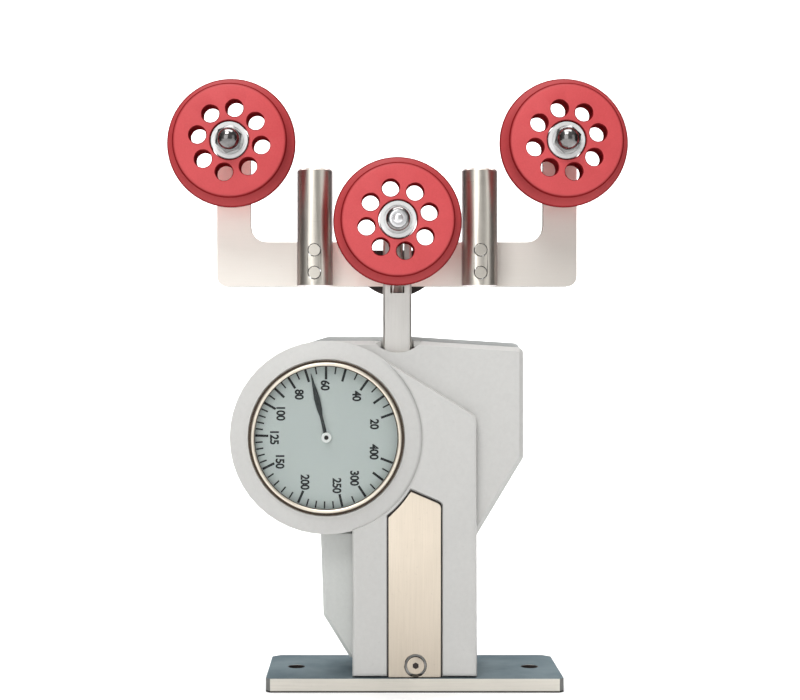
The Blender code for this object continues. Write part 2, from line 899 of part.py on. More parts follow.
def make_front_housing():
    """Cast front shell: stepped shoulder, raised grip and dial boss over one hollow."""
    shell = extruded(
        "front_housing", housing_outline(0, 0, housing_bottom), shoulder_front, parting_plane,
    )
    round_face(shell, shoulder_front, shell_round, 1)
    grip = extruded(
        "grip_form", raised_outline(0, housing_bottom), grip_front, parting_plane - touch_gap,
    )
    round_face(grip, grip_front, shell_round)
    boss = pin(
        "boss_form", (dial_x, dial_height), boss_radius, boss_front, parting_plane - 2 * touch_gap, "Y", 48
    )
    round_face(boss, boss_front, shell_round)
    hollow = extruded(
        "shoulder_hollow", housing_outline(housing_wall, 0, base_thickness - overrun),
        shoulder_front + housing_wall, parting_plane + overrun,
    )
    deep_hollow = extruded(
        "grip_hollow", raised_outline(housing_wall, base_thickness - overrun / 2),
        inner_front, parting_plane + overrun / 2,
    )
    join(shell, grip, boss)
    cut(shell, hollow, deep_hollow)
    places = screw_boss_places()
    for number, place in enumerate(places):
        wall_front = shoulder_front if place == places[-1] else inner_front - housing_wall
        join(shell, pin(
            "front_screw_boss_" + str(number + 1), place, screw_boss_radius,
            wall_front + housing_wall / 2, parting_plane - touch_gap, "Y", 12,
        ))
        cut(shell, pin(
            "front_screw_bore_" + str(number + 1), place, housing_screw_radius + touch_gap,
            screw_bore_end, parting_plane + overrun, "Y", 8,
        ))
    cut(shell, lever_slot("front_lever_slot", lever_slot_front, parting_plane + overrun))
    join(shell, pin(
        "front_pivot_boss", (lever_pivot_x, lever_pivot_height), pivot_boss_radius,
        inner_front - housing_wall / 2, lever_pad_front - touch_gap, "Y", 16,
    ))
    floor_half = scallop_radius - scallop_floor_margin
    join(shell, block(
        "scallop_floor",
        (head_x - floor_half, shoulder_front + housing_wall / 2, frame_top + touch_gap),
        (head_x + floor_half, stem_front, boss_top - housing_wall / 2),
    ))
    dial_place = (dial_x, dial_height)
    cut(
        shell,
        pin("pivot_bore", (lever_pivot_x, lever_pivot_height), lever_pin_radius + touch_gap,
            lever_pin_front - touch_gap, lever_pad_front + overrun, "Y", 16),
        pin("bezel_seat", dial_place, bezel_radius + touch_gap, boss_front - overrun, bezel_seat, "Y", 48),
        pin("ledge_bore", dial_place, ledge_radius, bezel_seat - overrun, inner_front + overrun, "Y", 40),
        extruded("inlay_pocket", inlay_outline(inlay_groove), grip_front - overrun,
                 grip_front + inlay_thickness + touch_gap),
        pin("inlay_screw_bore", (inlay_screw_x, inlay_screw_height), inlay_screw_radius + touch_gap,
            grip_front - overrun, inner_front + overrun, "Y", 16),
        pin("scallop", (head_x, boss_top - scallop_depth + scallop_radius), scallop_radius,
            boss_front - overrun, stem_front, "Y", 32),
        block("stem_hole",
              (head_x - stem_width / 2 - stem_hole_gap, stem_front - stem_hole_gap,
               frame_top - overrun),
              (head_x + stem_width / 2 + stem_hole_gap, stem_back + stem_hole_gap,
               boss_top + overrun)),
    )
    keep(shell, "cast_paint")


def lever_slot(name, front, back):
    """Space in the left side of the grip for the thumb lever."""
    return block(
        name,
        (lever_top_x - 2 * lever_slot_gap, front, lever_slot_bottom),
        (-grip_half + housing_wall + overrun / 2, back, lever_slot_top),
    )


def make_rear_housing():
    """Rear shell: the same outline, a little higher at the top, with rounded back edges."""
    front = parting_plane + touch_gap
    shell = extruded("rear_housing", housing_outline(0, rear_top_rise, housing_bottom), front, rear_back)
    round_face(shell, rear_back, rear_round, 2)
    hollow = extruded(
        "rear_hollow", housing_outline(housing_wall, rear_top_rise, base_thickness - overrun),
        front - overrun, rear_inner,
    )
    cut(shell, hollow)
    for number, place in enumerate(screw_boss_places()):
        join(shell, pin(
            "rear_screw_boss_" + str(number + 1), place, screw_boss_radius,
            front + touch_gap, rear_inner + housing_wall / 2, "Y", 12,
        ))
        cut(
            shell,
            pin("rear_screw_seat_" + str(number + 1), place, housing_screw_head_radius + touch_gap,
                rear_back - housing_screw_head_height - touch_gap, rear_back + overrun, "Y", 12),
            pin("rear_screw_bore_" + str(number + 1), place, housing_screw_radius + touch_gap,
                front - overrun, rear_back, "Y", 8),
        )
        screw = turned(
            "housing_screw_" + str(number + 1),
            screw_profile(housing_screw_head_radius, housing_screw_head_height,
                          housing_screw_radius, housing_screw_length),
            (place[0], rear_back, place[1]), "back", 12,
        )
        keep(screw, "dark_steel")
    cut(shell, lever_slot("rear_lever_slot", front - overrun, lever_slot_back))
    join(shell, pin(
        "rear_pivot_boss", (lever_pivot_x, lever_pivot_height), pivot_boss_radius,
        lever_arm_back + touch_gap, rear_inner + housing_wall / 2, "Y", 16,
    ))
    cut(shell, pin(
        "rear_pivot_bore", (lever_pivot_x, lever_pivot_height), lever_pin_radius + touch_gap,
        lever_arm_back - overrun, lever_pin_back + touch_gap, "Y", 16,
    ))
    keep(shell, "cast_paint")


def make_inlay():
    """Brushed steel inlay in the grip, with its socket screw."""
    seat = circle((inlay_screw_x, inlay_screw_height), inlay_screw_seat_radius, 24)
    inlay = extruded("inlay_plate", inlay_outline(0), grip_front, grip_front + inlay_thickness, "Y", [seat])
    keep(inlay, "brushed_steel")
    screw = turned(
        "inlay_screw",
        screw_profile(
            inlay_screw_head_radius, inlay_screw_head_height, inlay_screw_radius, inlay_screw_length
        ),
        (inlay_screw_x, inlay_screw_front, inlay_screw_height), "front", 24,
    )
    cut(screw, pin(
        "inlay_socket", (inlay_screw_x, inlay_screw_height), inlay_socket_radius,
        inlay_screw_front - overrun, inlay_screw_front + inlay_socket_depth, "Y", 6,
    ))
    keep(screw, "brushed_steel")


def make_dial():
    """Bezel, glass, seal and dial face, in front of the ledge of the boss."""
    centre = (dial_x, 0, dial_height)
    inner = bezel_radius - bezel_wall
    bezel = turned("bezel_ring", [
        (bezel_radius - bezel_lip, -bezel_front),
        (bezel_radius - bezel_wall / 2, -bezel_front),
        (bezel_radius, -bezel_front - bezel_wall / 2),
        (bezel_radius, -dial_face_back),
        (inner, -dial_face_back),
        (inner, -bezel_front - bezel_lip_thickness),
        (bezel_radius - bezel_lip, -bezel_front - bezel_lip_thickness),
    ], centre, "front", 40, ring=True)
    keep(bezel, "brushed_steel")
    glass = pin("dial_glass", (dial_x, dial_height), inner - touch_gap, glass_front, glass_back, "Y", 40)
    keep(glass, "clear_glass")
    seal = turned("glass_seal", [
        (inner - glass_overlap - touch_gap, -glass_back - touch_gap),
        (inner - touch_gap, -glass_back - touch_gap),
        (inner - touch_gap, -dial_face_front + touch_gap),
        (inner - glass_overlap - touch_gap, -dial_face_front + touch_gap),
    ], centre, "front", 40, ring=True)
    keep(seal, "seal_rubber")
    face = pin(
        "dial_face", (dial_x, dial_height), inner - touch_gap, dial_face_front, dial_face_back, "Y", 40
    )
    cut(face, pin("face_bore", (dial_x, dial_height), arbor_radius + touch_gap,
                  dial_face_front - overrun, dial_face_back + overrun, "Y", 16))
    keep(face, "dial_grey")


def make_pointer():
    """Pointer with its hub, on the pointer arbor with the pinion."""
    turn = pointer_rest_angle
    shape = [
        (-pointer_tail, -pointer_hub_radius / 2),
        (pointer_length * pointer_waist_share, -pointer_waist / 2),
        (pointer_length * pointer_belly_share, -pointer_widest / 2),
        (pointer_length, -touch_gap / 4),
        (pointer_length, touch_gap / 4),
        (pointer_length * pointer_belly_share, pointer_widest / 2),
        (pointer_length * pointer_waist_share, pointer_waist / 2),
        (-pointer_tail, pointer_hub_radius / 2),
    ]
    centre = (dial_x, dial_height)
    outline = []
    for along, side in shape:
        reach = math.hypot(along, side)
        outline.append(polar(centre, reach, turn + math.degrees(math.atan2(side, along))))
    pointer = extruded("pointer", outline, pointer_front, pointer_back)
    hub = pin(
        "pointer_hub", centre, pointer_hub_radius, pointer_hub_front, pointer_back + touch_gap / 3, "Y", 24
    )
    join(pointer, hub)
    cut(pointer, pin("pointer_bore", centre, arbor_radius + touch_gap,
                     pointer_hub_front - overrun, pointer_back + overrun, "Y", 16))
    keep(pointer, "pointer_black")
    arbor = pin(
        "pointer_arbor", centre, arbor_radius, pointer_hub_front - arbor_proud, bridge_back, "Y", 16
    )
    pinion_turn = mesh_angle + 180 + 180 / pinion_teeth
    pinion_points = toothed_points(centre, pinion_teeth, 0, pinion_teeth, pinion_turn)
    pinion = extruded(
        "pinion", pinion_points, sector_plane - sector_thickness, sector_plane + sector_thickness,
    )
    join(arbor, pinion)
    keep(arbor, "polished_steel")
    return pointer, arbor


def make_movement():
    """Movement plate, bridge with two pillars, sector gear and its arbor."""
    dial = (dial_x, dial_height)
    pivot = (sector_x, sector_height)
    bore = arbor_radius + touch_gap
    plate = extruded(
        "movement_plate", circle(dial, movement_plate_radius, 40), movement_front, movement_back, "Y",
        [circle(dial, bore, 12), circle(pivot, bore, 12)],
    )
    keep(plate, "brass")
    bridge = extruded(
        "movement_bridge", stadium(pivot, dial, bridge_width / 2), bridge_plane, bridge_back,
    )
    far_pillar = polar(dial, pillar_reach, mesh_angle)
    near_pillar = polar(pivot, pillar_reach, pillar_side_angle)
    for number, place in enumerate((far_pillar, near_pillar)):
        foot = dial if number == 0 else pivot
        wing = extruded(
            "bridge_wing_" + str(number + 1), stadium(foot, place, pillar_radius + 2 * touch_gap),
            bridge_plane + touch_gap / 3, bridge_back - touch_gap / 3,
        )
        pillar = pin("bridge_pillar_" + str(number + 1), place, pillar_radius,
                     movement_back + touch_gap, bridge_back - touch_gap, "Y", 12)
        join(bridge, wing, pillar)
    for number, foot in enumerate((dial, pivot)):
        cut(bridge, pin("bridge_bore_" + str(number + 1), foot, bore,
                        bridge_plane - overrun, bridge_back + overrun, "Y", 14))
    keep(bridge, "brass")
    pitch = 360 / sector_whole_teeth
    first = -math.ceil(zero_side_swing / pitch) - 2
    count = math.ceil(math.degrees(sector_sweep) / pitch) + 5
    teeth = toothed_points(pivot, sector_whole_teeth, first, count, mesh_angle)
    start = mesh_angle + first * pitch
    end = start + (count - 1) * pitch
    pitch_radius = gear_module * sector_whole_teeth / 2
    window = arc(pivot, pitch_radius * sector_window_outer_share, start + 2 * pitch, end - 2 * pitch, 8)
    window += arc(pivot, pitch_radius * sector_window_inner_share, end - 3 * pitch, start + 3 * pitch, 4)
    back = sector_plane + sector_thickness / 2
    front = sector_plane - sector_thickness / 2
    sector = extruded("sector_gear", [pivot] + teeth, front, back, "Y", [window])
    hub = pin("sector_hub", pivot, sector_hub_radius, front - touch_gap / 3, back + touch_gap, "Y", 24)
    lean = math.degrees(math.atan2(drive_pin_height - sector_height, head_x - sector_x))
    tail_end = polar(pivot, sector_tail_length + sector_tail_overhang, lean)
    tail = extruded("sector_tail", stadium(pivot, tail_end, sector_tail_width / 2),
                    front + touch_gap / 3, back - touch_gap / 3)
    slot_half = drive_pin_radius + touch_gap
    slot_start = polar(pivot, sector_tail_length - slot_half / 2, lean)
    slot_end = polar(pivot, sector_tail_length + slot_half, lean)
    slot_shape = stadium(slot_start, slot_end, slot_half)
    slot = extruded("sector_slot", slot_shape, front - overrun, back + overrun)
    join(sector, hub, tail)
    cut(sector, slot, pin("sector_bore", pivot, bore, front - overrun, back + overrun, "Y", 16))
    keep(sector, "brass")
    arbor = pin("sector_arbor", pivot, arbor_radius, movement_front + touch_gap, bridge_back, "Y", 16)
    keep(arbor, "polished_steel")
    return sector


def make_frame():
    """Inner frame: a plate with the guides of the stem and of the rod and the spring seat."""
    frame_back = frame_front + frame_thickness
    outline = [
        (frame_narrow_x, foot_top + touch_gap),
        (frame_right_x, foot_top + touch_gap),
        (frame_right_x, frame_top),
        (frame_left_x, frame_top),
        (frame_left_x, frame_narrow_height),
        (frame_narrow_x, frame_narrow_height),
    ]
    stem_half = stem_width / 2
    window = rectangle(
        head_x - stem_half - window_margin, head_x + stem_half + window_margin,
        stem_foot_height - window_margin,
        stem_foot_height + stem_bridge_height + yoke_lift + window_margin,
    )
    frame = extruded("mechanism_frame", outline, frame_front, frame_back, "Y", [window])
    root = frame_front + frame_thickness / 2
    guide_top = guide_bottom + guide_height
    join(
        frame,
        block("stem_guide", (head_x - guide_width / 2, guide_front, guide_bottom),
              (guide_right_x, root, guide_top)),
        block("rod_guide", (head_x - rod_guide_width / 2, frame_front - rod_guide_depth, rod_guide_height),
              (head_x + rod_guide_width / 2, root, rod_guide_height + rod_guide_thickness)),
        block("spring_seat", (frame_narrow_x + touch_gap, frame_front - rod_guide_depth,
                              spring_seat_height - spring_seat_thickness),
              (head_x + rod_guide_width / 2, root, spring_seat_height)),
    )
    cut(
        frame,
        block("stem_guide_hole",
              (head_x - stem_half - touch_gap, stem_front - touch_gap, guide_bottom - overrun),
              (head_x + stem_half + touch_gap, stem_back + touch_gap, guide_top + overrun)),
        block("rod_guide_hole",
              (head_x - rod_width / 2 - touch_gap, rod_front - touch_gap, rod_guide_height - overrun),
              (head_x + rod_width / 2 + touch_gap, rod_back + touch_gap,
               rod_guide_height + rod_guide_thickness + overrun)),
    )
    keep(frame, "brushed_steel")


def make_measuring_rod():
    """Rod in the channel of the stem, with the journal of the middle roller, its foot and its drive pin."""
    rod = block(
        "measuring_rod",
        (head_x - rod_width / 2, rod_front, rod_foot_height + rod_foot_thickness / 2),
        (head_x + rod_width / 2, rod_back, middle_roller_height + rod_top_over_axle),
    )
    round_edges(rod, touch_gap, 1)
    journal = pin("middle_journal", (head_x, middle_roller_height), journal_radius,
                  journal_front, rod_middle, "Y", 16)
    foot = pin("rod_foot", (head_x, rod_middle), rod_foot_radius, rod_foot_height,
               rod_foot_height + rod_foot_thickness, "Z", 20)
    join(rod, journal, foot)
    cut(rod, pin("drive_bore", (head_x, drive_pin_height), drive_pin_radius + touch_gap,
                 rod_front - overrun, rod_middle + touch_gap, "Y", 16))
    keep(rod, "polished_steel")
    drive = pin("drive_pin", (head_x, drive_pin_height), drive_pin_radius,
                sector_plane - sector_thickness, rod_middle, "Y", 16)
    keep(drive, "polished_steel")
    spring = coil("measuring_spring", (head_x, rod_middle),
                  measuring_spring_radius - measuring_spring_wire / 2,
                  measuring_spring_wire, spring_seat_height + touch_gap, rod_foot_height - touch_gap,
                  measuring_spring_turns)
    keep(spring, "spring_steel")
    return rod, drive


def make_stem():
    """Forked stem of the yoke with its channel, lug and lift pin, and the return spring."""
    half = stem_width / 2
    stem = block("yoke_stem", (head_x - half, stem_front, stem_foot_height),
                 (head_x + half, stem_back, stem_top_height))
    round_edges(stem, stem_edge_round, 1)
    channel_half = stem_channel_width / 2
    cut(
        stem,
        block("stem_channel",
              (head_x - channel_half, stem_front + stem_web, stem_foot_height - overrun),
              (head_x + channel_half, stem_back + overrun, stem_top_height + overrun)),
        block("stem_slot",
              (head_x - channel_half, stem_front - overrun, stem_slot_height),
              (head_x + channel_half, stem_front + stem_web + overrun, stem_top_height + overrun)),
    )
    join(
        stem,
        block("stem_bridge", (head_x - half + touch_gap, bridge_front, stem_foot_height + touch_gap),
              (head_x + half - touch_gap, stem_back + stem_bridge_thickness,
               stem_foot_height + stem_bridge_height)),
        block("spring_lug",
              (head_x + half - stem_edge_round - touch_gap, return_spring_y - stem_lug_depth / 2,
                             stem_lug_height),
              (head_x + half + stem_lug_reach, return_spring_y + stem_lug_depth / 2,
               stem_lug_height + stem_lug_thickness)),
    )
    cut(stem, pin("lift_bore", (head_x, lift_pin_height), lift_shank_radius + touch_gap,
                  bridge_front - overrun, stem_back + stem_bridge_thickness + overrun, "Y", 16))
    for number, side in enumerate((-1, 1)):
        place = (head_x + side * stem_screw_offset, stem_screw_height)
        cut(stem, pin("stem_screw_bore_" + str(number + 1), place, stem_screw_radius + touch_gap,
                      stem_back - stem_depth / 2, stem_back + overrun, "Y", 12))
    keep(stem, "brushed_steel")
    roller_face = stem_back + stem_bridge_thickness + touch_gap
    lift = turned("lift_pin", [
        (0, roller_face + lift_pin_length),
        (lift_pin_radius, roller_face + lift_pin_length),
        (lift_pin_radius, roller_face),
        (lift_shank_radius, roller_face),
        (lift_shank_radius, bridge_front + touch_gap),
        (0, bridge_front + touch_gap),
    ], (head_x, 0, lift_pin_height), "back", 20)
    keep(lift, "polished_steel")
    spring = coil("return_spring", (return_spring_x, return_spring_y),
                  return_spring_radius - return_spring_wire / 2,
                  return_spring_wire, stem_lug_height + stem_lug_thickness + touch_gap,
                  guide_bottom - touch_gap, return_spring_turns)
    keep(spring, "spring_steel")
    return stem, lift


def make_yoke_plate():
    """U-shaped plate with two arms, the half-round clamp behind it and the two stem screws."""
    inner = roller_half_spacing - plate_arm_width / 2
    outer = roller_half_spacing + plate_arm_width / 2
    notch = plate_notch_width / 2
    arm_radius = plate_arm_width / 2
    outline = rounded([
        (head_x - outer, plate_bottom_height, plate_outer_fillet),
        (head_x + outer, plate_bottom_height, plate_outer_fillet),
        (head_x + outer, outer_roller_height + arm_radius, arm_radius),
        (head_x + inner, outer_roller_height + arm_radius, arm_radius),
        (head_x + inner, plate_bar_height, plate_inner_fillet),
        (head_x + notch, plate_bar_height, plate_notch_fillet / 2),
        (head_x + notch, plate_notch_height, plate_notch_fillet),
        (head_x - notch, plate_notch_height, plate_notch_fillet),
        (head_x - notch, plate_bar_height, plate_notch_fillet / 2),
        (head_x - inner, plate_bar_height, plate_inner_fillet),
        (head_x - inner, outer_roller_height + arm_radius, arm_radius),
        (head_x - outer, outer_roller_height + arm_radius, arm_radius),
    ], 4)
    journal_bore = journal_radius + touch_gap
    hole_places = [(head_x + side * roller_half_spacing, outer_roller_height) for side in (-1, 1)]
    holes = [circle(place, journal_bore, 16) for place in hole_places]
    for side in (-1, 1):
        for height in post_pin_heights:
            place = (head_x + side * post_half_spacing, height)
            holes.append(circle(place, post_pin_radius + touch_gap, 12))
        place = (head_x + side * stem_screw_offset, stem_screw_height)
        holes.append(circle(place, stem_screw_radius + touch_gap, 8))
    plate = extruded("yoke_plate", outline, plate_front, plate_back, "Y", holes)
    keep(plate, "brushed_steel")
    clamp_rim = arc((head_x, clamp_top_height), clamp_radius, 180, 360, 24)
    clamp = extruded(
        "stem_clamp", clamp_rim, plate_back + touch_gap, clamp_back, "Y",
        [circle((head_x + side * stem_screw_offset, stem_screw_height), stem_screw_radius + touch_gap, 8)
         for side in (-1, 1)],
    )
    keep(clamp, "dark_steel")
    screws = []
    for number, side in enumerate((-1, 1)):
        place = (head_x + side * stem_screw_offset,
                 clamp_back + touch_gap + stem_screw_head_height, stem_screw_height)
        reach = clamp_back + touch_gap - (stem_back - stem_depth / 2) - touch_gap
        screw = turned(
            "stem_screw_" + str(number + 1),
            screw_profile(stem_screw_head_radius, stem_screw_head_height, stem_screw_radius, reach),
            place, "back", 12,
        )
        keep(screw, "dark_steel")
        screws.append(screw)
    return [plate, clamp] + screws


def make_posts():
    """Round guide posts in front of the plate, each held by two pins."""
    pieces = []
    for name, side in (("left", -1), ("right", 1)):
        across = head_x + side * post_half_spacing
        post = turned("guide_post_" + name, [
            (0, post_top_height),
            (post_radius - post_chamfer, post_top_height),
            (post_radius, post_top_height - post_chamfer),
            (post_radius, plate_bottom_height),
            (0, plate_bottom_height),
        ], (across, post_middle_y, 0), "up", 32)
        flat = block(
            "post_flat_" + name,
            (across - post_radius - overrun, post_middle_y + post_radius - post_flat_depth,
             plate_bottom_height - overrun),
            (across + post_radius + overrun, post_middle_y + post_radius + overrun,
             post_top_height + overrun),
        )
        cut(post, flat)
        for number, height in enumerate(post_pin_heights):
            label = name + "_" + str(number + 1)
            cut(post, pin("post_bore_" + label, (across, height), post_pin_radius + touch_gap,
                          post_middle_y - post_radius - overrun, plate_front, "Y", 12))
            rivet = pin("post_pin_" + label, (across, height), post_pin_radius,
                        post_middle_y - post_radius - post_pin_proud, plate_back, "Y", 16)
            keep(rivet, "polished_steel")
            pieces.append(rivet)
        keep(post, "polished_steel")
        pieces.append(post)
    return pieces


def roller_profile(bore):
    """Grooved roller: smaller front flange, V groove, larger rear flange."""
    front = roller_width / 2
    back = -roller_width / 2
    root = groove_root_width / 2
    return [
        (bore, front),
        (front_flange_radius - rim_round, front),
        (front_flange_radius, front - rim_round),
        (front_flange_radius, front - front_rim_width),
        (groove_root_radius, root),
        (groove_root_radius, -root),
        (rear_flange_radius, back + rear_rim_width),
        (rear_flange_radius, back + rim_round),
        (rear_flange_radius - rim_round, back),
        (bore, back),
    ]


def make_roller(name, across, height):
    """One roller with its holes, bearing, washer and spacer."""
    place = (across, groove_plane, height)
    profile = roller_profile(bearing_radius + touch_gap)
    roller = turned(name + "_roller", profile, place, "front", 32, ring=True)
    work = bmesh.new()
    for number in range(hole_count):
        angle = roller_turn_angles[name] + 360 * number / hole_count
        spot = polar((across, height), hole_circle_radius, angle)
        shift = Matrix.Translation((spot[0], groove_plane, spot[1])) @ Matrix.Rotation(quarter_turn, 4, "X")
        bmesh.ops.create_cone(
            work, cap_ends=True, segments=10, radius1=hole_radius, radius2=hole_radius,
            depth=roller_width + 2 * overrun, matrix=shift,
        )
    mesh = bpy.data.meshes.new(name + "_holes")
    work.to_mesh(mesh)
    work.free()
    cut(roller, new_object(name + "_holes", mesh))
    keep(roller, "roller_red")
    bore = journal_radius + touch_gap
    lip = bearing_radius - bearing_race_width
    bearing = turned(name + "_bearing", [
        (bore, -bearing_front),
        (bearing_race_radius, -bearing_front),
        (bearing_race_radius + touch_gap, -bearing_front - bearing_face_recess),
        (lip - touch_gap, -bearing_front - bearing_face_recess),
        (lip, -bearing_front),
        (bearing_radius, -bearing_front),
        (bearing_radius, -bearing_back),
        (bore, -bearing_back),
    ], (across, 0, height), "front", 24, ring=True)
    keep(bearing, "bearing_steel")
    washer = turned(name + "_washer", [
        (bore, -washer_front),
        (washer_radius, -washer_front),
        (washer_radius, -washer_back),
        (bore, -washer_back),
    ], (across, 0, height), "front", 16, ring=True)
    keep(washer, "polished_steel")
    return roller, bearing, washer


def make_spacer(name, across, height, back):
    """Sleeve that keeps a bearing in front of its carrier."""
    bore = journal_radius + touch_gap
    spacer = turned(name + "_spacer", [
        (bore, -bearing_back - touch_gap),
        (spacer_radius, -bearing_back - touch_gap),
        (spacer_radius, -back + touch_gap),
        (bore, -back + touch_gap),
    ], (across, 0, height), "front", 16, ring=True)
    return keep(spacer, "brushed_steel")


def make_outer_axle(name, across):
    """Axle with a head behind the arm, and its dome nut."""
    axle = turned(name + "_axle", [
        (0, -journal_front),
        (journal_radius, -journal_front),
        (journal_radius, -plate_back - touch_gap),
        (axle_head_radius, -plate_back - touch_gap),
        (axle_head_radius, -plate_back - touch_gap - axle_head_height),
        (0, -plate_back - touch_gap - axle_head_height),
    ], (across, 0, outer_roller_height), "front", 16)
    keep(axle, "polished_steel")
    place = (across, outer_roller_height)
    dome_profile = [(0, nut_hex_height + nut_dome_height)]
    for step in range(1, dome_rings + 1):
        angle = quarter_turn * step / dome_rings
        rise = nut_dome_height * math.cos(angle)
        dome_profile.append((nut_dome_radius * math.sin(angle), nut_hex_height + rise))
    dome_profile.append((nut_dome_radius, nut_hex_height / 2))
    dome_profile.append((0, nut_hex_height / 2))
    dome = turned(name + "_dome", dome_profile, (across, nut_back, outer_roller_height), "front", 18)
    nut = pin(name + "_nut", place, nut_corner_radius, nut_back - nut_hex_height, nut_back, "Y", 6)
    round_edges(nut, touch_gap, 1)
    join(nut, dome)
    cut(nut, pin(name + "_nut_bore", place, journal_radius + touch_gap,
                 nut_back - nut_bore_depth, nut_back + overrun, "Y", 12))
    keep(nut, "chrome")
    return axle, nut


def make_middle_nut():
    """Low stepped nut of the middle roller."""
    place = (head_x, middle_roller_height)
    shoulder = cap_flange_height + cap_shoulder_height
    nut = turned("middle_nut", [
        (0, shoulder + cap_tip_height),
        (cap_tip_radius - touch_gap, shoulder + cap_tip_height),
        (cap_tip_radius, shoulder + cap_tip_height - touch_gap),
        (cap_tip_radius, shoulder),
        (cap_shoulder_radius, shoulder),
        (cap_shoulder_radius, cap_flange_height),
        (cap_flange_radius, cap_flange_height),
        (cap_flange_radius, 0),
        (0, 0),
    ], (head_x, nut_back, middle_roller_height), "front", 20)
    cut(nut, pin("middle_nut_bore", place, journal_radius + touch_gap,
                 nut_back - nut_bore_depth, nut_back + overrun, "Y", 12))
    return keep(nut, "chrome")


def cam_points():
    """Upper edge of the lever's arm: the path of the lift pin as the turning lever sees it."""
    pivot = Vector((lever_pivot_x, lever_pivot_height))
    path = []
    for number in range(-2, lever_cam_points + 3):
        share = number / lever_cam_points
        angle = math.radians(lever_angle) * share
        spot = Vector((head_x, lift_pin_height + yoke_lift * share)) - pivot
        spot.rotate(Matrix.Rotation(angle, 2))
        path.append(spot + pivot)
    points = []
    for before, here, after in zip(path, path[1:], path[2:]):
        run = (after - before).normalized()
        below = Vector((run.y, -run.x))
        if below.y > 0:
            below.negate()
        points.append(tuple(here + below * (lift_pin_radius + touch_gap)))
    return points


def make_lever():
    """Thumb lever: pad at the left of the grip and an arm with the lifting edge, on its pivot pin."""
    pivot = (lever_pivot_x, lever_pivot_height)
    pad = extruded("thumb_lever", rounded([
        (lever_toe_x, lever_toe_height, lever_fillet / 2),
        (lever_pivot_x, lever_pivot_height - lever_hub_radius + touch_gap, 0),
        (lever_pivot_x, lever_pivot_height + lever_hub_radius - touch_gap, 0),
        (lever_inner_x, lever_pivot_height + 2 * lever_hub_radius, 0),
        (lever_inner_x, lever_top_height, 0),
        (lever_top_x, lever_top_height, lever_fillet / 2),
        (lever_bend_x, lever_bend_height, lever_fillet),
    ]), lever_pad_front, lever_pad_back)
    round_edges(pad, lever_edge_round, 1)
    hub = pin(
        "lever_hub", pivot, lever_hub_radius,
        lever_pad_front + touch_gap, lever_arm_back - touch_gap, "Y", 20,
    )
    cam = cam_points()
    half = lever_arm_width / 2
    right_end = (cam[0][0] + touch_gap, cam[0][1] - lever_arm_width)
    left_end = (cam[-1][0] - lever_cam_back, cam[-1][1] - lever_cam_back)
    outline = [(lever_pivot_x - half, lever_pivot_height), (lever_pivot_x + half, lever_pivot_height)]
    outline += [(lever_pivot_x + half, lever_knee_height), right_end] + cam
    outline += [left_end, (lever_pivot_x - half, lever_knee_height)]
    arm = extruded("lever_arm", outline, lever_arm_front, lever_arm_back)
    join(pad, hub, arm)
    cut(pad, pin("lever_bore", pivot, lever_pin_radius + touch_gap,
                 lever_pad_front - overrun, lever_arm_back + overrun, "Y", 16))
    keep(pad, "lever_paint")
    pivot_pin = pin("lever_pivot_pin", pivot, lever_pin_radius, lever_pin_front, lever_pin_back, "Y", 16)
    keep(pivot_pin, "polished_steel")
    return pad


def build():
    """Make every piece and hang the moving ones on their joints."""
    make_base()
    make_foot_block()
    make_front_housing()
    make_rear_housing()
    make_inlay()
    make_dial()
    make_frame()
    sector = make_movement()
    pointer_pieces = make_pointer()
    rod_pieces = list(make_measuring_rod())
    yoke_pieces = list(make_stem()) + make_yoke_plate() + make_posts()
    lever = make_lever()
    left_x = head_x - roller_half_spacing
    right_x = head_x + roller_half_spacing
    places = {
        "left": (left_x, outer_roller_height),
        "middle": (head_x, middle_roller_height),
        "right": (right_x, outer_roller_height),
    }
    yoke_joint = joint_mark("yoke_joint", (head_x, (stem_front + stem_back) / 2, stem_foot_height))
    rod_joint = joint_mark("measuring_joint", (head_x, rod_middle, rod_foot_height))
    for name, (across, height) in places.items():
        roller, bearing, washer = make_roller(name, across, height)
        if name == "middle":
            carried = [washer, make_spacer(name, across, height, stem_front - touch_gap), make_middle_nut()]
            rod_pieces += carried
        else:
            carried = [washer, make_spacer(name, across, height, plate_front)]
            carried += make_outer_axle(name, across)
            yoke_pieces += carried
        mark = joint_mark(name + "_roller_joint", (across, groove_plane, height))
        ride(mark, roller, bearing)
    ride(yoke_joint, *yoke_pieces)
    ride(rod_joint, *rod_pieces)
    ride(joint_mark("lever_joint", (lever_pivot_x, lever_pad_front, lever_pivot_height)), lever)
    ride(joint_mark("sector_joint", (sector_x, sector_plane, sector_height)), sector)
    ride(joint_mark("pointer_joint", (dial_x, pointer_front, dial_height)), *pointer_pieces)
    bpy.context.view_layer.update()
    print("pieces", len([item for item in parts.objects if item.type != "EMPTY"]))


build()
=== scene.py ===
# %% [markdown]
# # Bench tension meter
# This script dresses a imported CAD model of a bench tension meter. Each cell does one
# small job, says what it makes, and prints a number or two that can be checked.
# The first cell loads the model: every CAD node becomes an object whose place is in
# its vertices, so the object itself stays at the origin.

# %% Load the frame
import json
import math

import bmesh
import bpy
from mathutils import Matrix, Vector

